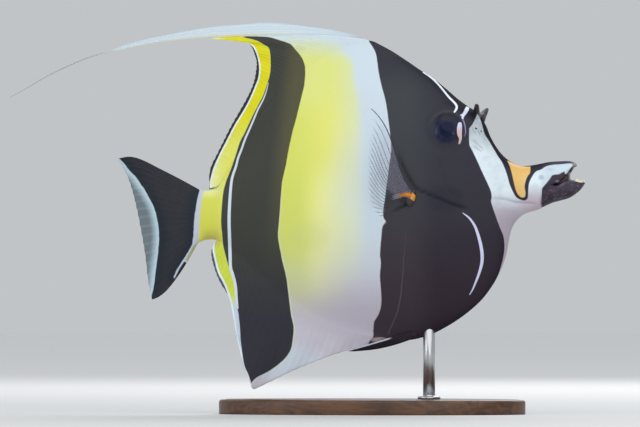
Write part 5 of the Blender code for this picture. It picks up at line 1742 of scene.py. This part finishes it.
FILM, RAY_TREE, ROOT = film_finish(), ray_tree(ray_finish()), root_finish()
for hand, side in HANDS:
    place = fan(PECTORAL_ROOT, PECTORAL_MARGIN, PECTORAL_BOWS, PECTORAL_LIFT, side, 0.0011, 0.10)
    film = blade(place, film_half, 75, 40).finish("pectoral_film_" + hand, FILM, ("middle", "share", "out"))
    rays = grown("pectoral_rays_" + hand, RAY_TREE, *ray_lines(place, PECTORAL_RAYS, 0.78), {"Sides": 8})
    foot = fin_root("pectoral_foot_" + hand, side, PECTORAL_ROOT, (0.0018, 0.0014, 0.0038), ROOT)
    for piece in (film, foot):
        column, row = seen(points_of(piece.data), 0.0)
        write(piece.data, "comma", within(COMMA, column, row))
        write(piece.data, "trail", smoothly(408, 388, column))
    out, share = read(film.data, "out"), read(film.data, "share")
    under_comma = smoothly(0.3, 0.5, share) * smoothly(0.72, 0.55, out)
    write(film.data, "veil", smoothly(1.0, 0.6, out) * smoothly(0.92, 0.78, share) * (1 - under_comma))
    column, row = seen(points_of(rays.data), 0.0)
    write(rays.data, "over", from_path(smooth_path(FRONT_BAND_REAR[::-1]), column, row, 400)[0])
    dressed(film, "fin_clear", "pectoral_fin_" + hand)
    dressed(rays, "fin_clear")
    dressed(foot, "fin_clear")

# %% [markdown]
# ### Pelvic fins
# They are short black blades folded back under the belly, thickened along their leading edge, where a thin
# bluish line of light runs. Ridges show their few rays.

# %% Make the pelvic fins
def pelvic_finish():
    dark = Finish("pelvic", Specular_IOR_Level=0.12)
    share, out = dark.value("share"), dark.value("out")
    colour = dark.layer((30, 27, 36), (40, 36, 46), dark.noise(300, 3))
    colour = dark.layer(colour, (46, 38, 48), (out, 0.40, 0.20))
    # painted highlight: the thin bluish line of light along the leading edge
    colour = dark.layer(colour, (206, 214, 230), (share, 0.24, 0.08), (out, 0.28, 0.38), 0.9)
    dark.set(Base_Color=colour, Normal=dark.bump(dark.noise(900, 3), 0.00006, 0.6))
    return dark.material


def pelvic_half(share, out):
    """Half a pelvic blade's thickness, ridged by its rays."""
    rays = 0.5 + 0.5 * np.cos(math.tau * share * PELVIC_RAYS)
    return 0.00012 + 0.00034 * (1 - out) ** 1.5 + 0.00014 * rays * (1 - 0.6 * out)


PELVIC = pelvic_finish()
for hand, side in HANDS:
    place = fan(PELVIC_ROOT, PELVIC_MARGIN, PELVIC_BOWS, PELVIC_LIFT, side, 0.0005, 0.03)
    fin = blade(place, pelvic_half, 61, 60)
    fin = fin.finish("pelvic_blade_" + hand, PELVIC, ("middle", "share", "out"))
    foot = fin_root("pelvic_foot_" + hand, side, PELVIC_ROOT, (0.0007, 0.0006, 0.0014), PELVIC)
    write(foot.data, "share", np.ones(len(foot.data.vertices)))
    dressed(fin, "skin_black", "pelvic_fin_" + hand)
    dressed(foot, "skin_black")

# %% [markdown]
# ## The stand
# A museum stand should be seen and then forgotten: a low oval of dark oiled walnut with an eased edge, and
# one brushed steel rod that enters the belly under the fish's balance point. A collar hides its hole.

# %% Turn the stand
def walnut():
    wood = Finish("walnut", roughness=0.4, Specular_IOR_Level=0.4, Coat_Weight=0.15, Coat_Roughness=0.3)
    grain = wood.noise(26, 6, 0.6, wood.stretched((1, 9, 9)), 1.6)
    pores = wood.noise(220, 3, 0.7, wood.stretched((1, 14, 14)))
    colour = wood.layer((62, 40, 27), (104, 70, 46), (grain, 0.3, 0.72))
    colour = wood.layer(colour, (38, 25, 18), (pores, 0.56, 0.7), 0.6)
    wood.set(Base_Color=colour, Normal=wood.bump(pores, 0.0001, 0.5))
    wood.set(Roughness=wood.step(grain, 0.2, 0.8, 0.36, 0.5))
    return wood.material


def steel():
    metal = Finish("steel", roughness=0.3, metallic=1.0)
    brushed = metal.noise(900, 3, 0.6, metal.stretched((1, 1, 0.02)))
    metal.set(Base_Color=metal.layer((176, 178, 182), (200, 202, 205), brushed))
    metal.set(Roughness=metal.step(brushed, 0.3, 0.7, 0.24, 0.36))
    return metal.material


def turned(name, profile, turns, middle_x, material, half_sizes=None):
    """Turns a profile of (radius, height) about an upright axis; half sizes make the widest ring an oval."""
    made, rings = Stitcher(), []
    angles = np.linspace(0, math.tau, turns, endpoint=False)
    widest = max(radius for radius, _ in profile)
    half_x, half_y = half_sizes or (widest, widest)
    for radius, height in profile:
        x, y = (half_x + (radius - widest)) * np.cos(angles), (half_y + (radius - widest)) * np.sin(angles)
        rings.append(made.add(np.column_stack([middle_x + x, y, np.full(turns, height)])))
    made.tube(rings)
    made.faces += [tuple(rings[0]), tuple(rings[-1])]
    return made.finish(name, material)


def quarter(radius, height, size, start, end, steps=7):
    """Profile points on an arc about (radius, height), between two angles in degrees."""
    return [(radius + size * math.cos(math.radians(a)), height + size * math.sin(math.radians(a)))
            for a in np.linspace(start, end, steps)]


# %% Set up the stand
FOOT_TOP, COLLAR_TOP = 0.0060, 0.0078
low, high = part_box("stand_base")
half_sizes = (high[0] - low[0]) / 2, (high[1] - low[1]) / 2
edge = half_sizes[1]
foot_profile = [(edge - 0.0008, 0.0)] + quarter(edge - 0.0005, 0.0005, 0.0005, -90, 0, 4)
foot_profile += quarter(edge - 0.0012, 0.0046, 0.0012, 0, 90)
foot_profile += [(edge - 0.0026, 0.0058), (edge - 0.0030, FOOT_TOP), (edge - 0.0060, FOOT_TOP)]
foot = turned("stand_foot", foot_profile, 192, (low[0] + high[0]) / 2, walnut(), half_sizes)

low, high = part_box("stand_rod")
rod_x, rod_half, rod_top = (low[0] + high[0]) / 2, (high[0] - low[0]) / 2, high[2]
post_profile = [(rod_half, FOOT_TOP + 0.0002), (rod_half, rod_top - 0.0004), (rod_half - 0.0004, rod_top)]
collar_half = rod_half * 1.9
collar_profile = [(collar_half, FOOT_TOP), (collar_half, 0.0068)]
collar_profile += quarter(collar_half - 0.0004, 0.0068, 0.0004, 0, 90, 5)
collar_profile += quarter(rod_half + 0.0006, COLLAR_TOP, -0.0006, 90, 0, 5)
collar_profile += [(rod_half - 0.0002, 0.0080)]
STEEL = steel()
post = turned("stand_post", post_profile, 64, rod_x, STEEL)
collar = turned("stand_collar", collar_profile, 64, rod_x, STEEL)
dressed(foot, "stand_wood", "stand_base")
dressed(post, "stand_steel", "stand_rod")
dressed(collar, "stand_steel")

# %% [markdown]
# ## Floor, light and camera
# A plain pale floor and large soft lamps, as in a museum's own studio. The camera stands a little ahead
# of square and level with the fish, with a very long lens, so that near and far parts keep their size.

# %% The studio
def studio():
    card = Finish("floor_card", roughness=0.75)
    away = card.node("ShaderNodeVectorMath", operation="LENGTH")
    card.feed(away.inputs[0], card.place)
    near = card.layer((203.4, 204.9, 206.4), (207.9, 209.3, 210.8), card.noise(6, 3))
    card.set(Base_Color=card.layer(near, (250.5, 250.5, 250.5), (away.outputs["Value"], 0.2, 1.6)))
    mesh = bpy.data.meshes.new("floor")
    made = bmesh.new()
    bmesh.ops.create_circle(made, cap_ends=True, segments=96, radius=4.0)
    made.to_mesh(mesh)
    made.free()
    mesh.materials.append(card.material)
    placed("floor", mesh)
    world = bpy.data.worlds.new("studio")
    world.use_nodes = True
    sky = world.node_tree.nodes["Background"]
    sky.inputs["Color"].default_value = (0.86, 0.89, 0.92, 1)
    sky.inputs["Strength"].default_value = 0.62
    bpy.context.scene.world = world


LAMP_AIM = Vector((0.0, 0.0, 0.08))
LAMPS = [  # name, place, size, height over width, power, colour
    ("key", (0.30, -0.90, 0.95), 2.2, 1.0, 12.5, (1.0, 0.98, 0.95)),
    ("fill", (-0.9, -0.8, 0.30), 0.9, 1.0, 1.7, (0.92, 0.96, 1.0)),
    ("back", (0.1, 0.9, 0.7), 0.8, 1.0, 5, (1.0, 1.0, 1.0)),
    ("catch", (0.47, -0.95, 0.07), 0.035, 1.0, 0.40, (1.0, 1.0, 1.0)),
    ("catch_rear", (-0.71, -0.68, 0.16), 0.022, 20.0, 0.5, (1.0, 1.0, 1.0)),
]
CAMERA_LEVEL, CAMERA_ASIDE = 0.08028, -0.0208  # over the floor, and towards the tail from the stand's middle


def lamp(name, place, size, tall, power, colour):
    data = bpy.data.lights.new(name, "AREA")
    data.shape, data.size, data.size_y = "ELLIPSE", size, size * tall
    data.energy, data.color = power, colour
    obj = placed(name, data)
    obj.location = place
    obj.rotation_euler = (LAMP_AIM - Vector(place)).to_track_quat("-Z", "Y").to_euler()


def camera(distance=6.0, width=0.256):
    data = bpy.data.cameras.new("camera")
    data.sensor_width = 36.0
    data.lens = data.sensor_width * distance / width
    data.clip_end = 100
    obj = placed("camera", data)
    away = Vector((math.sin(VIEW_TURN), -math.cos(VIEW_TURN), 0))
    right = Vector((math.cos(VIEW_TURN), math.sin(VIEW_TURN), 0))
    obj.location = right * CAMERA_ASIDE + Vector((0, 0, CAMERA_LEVEL)) + away * distance
    obj.rotation_euler = away.to_track_quat("Z", "Y").to_euler()
    bpy.context.scene.camera = obj


studio()
for settings in LAMPS:
    lamp(*settings)
camera()
bpy.context.scene.view_settings.view_transform = "Standard"
print("lamps:", len(LAMPS))
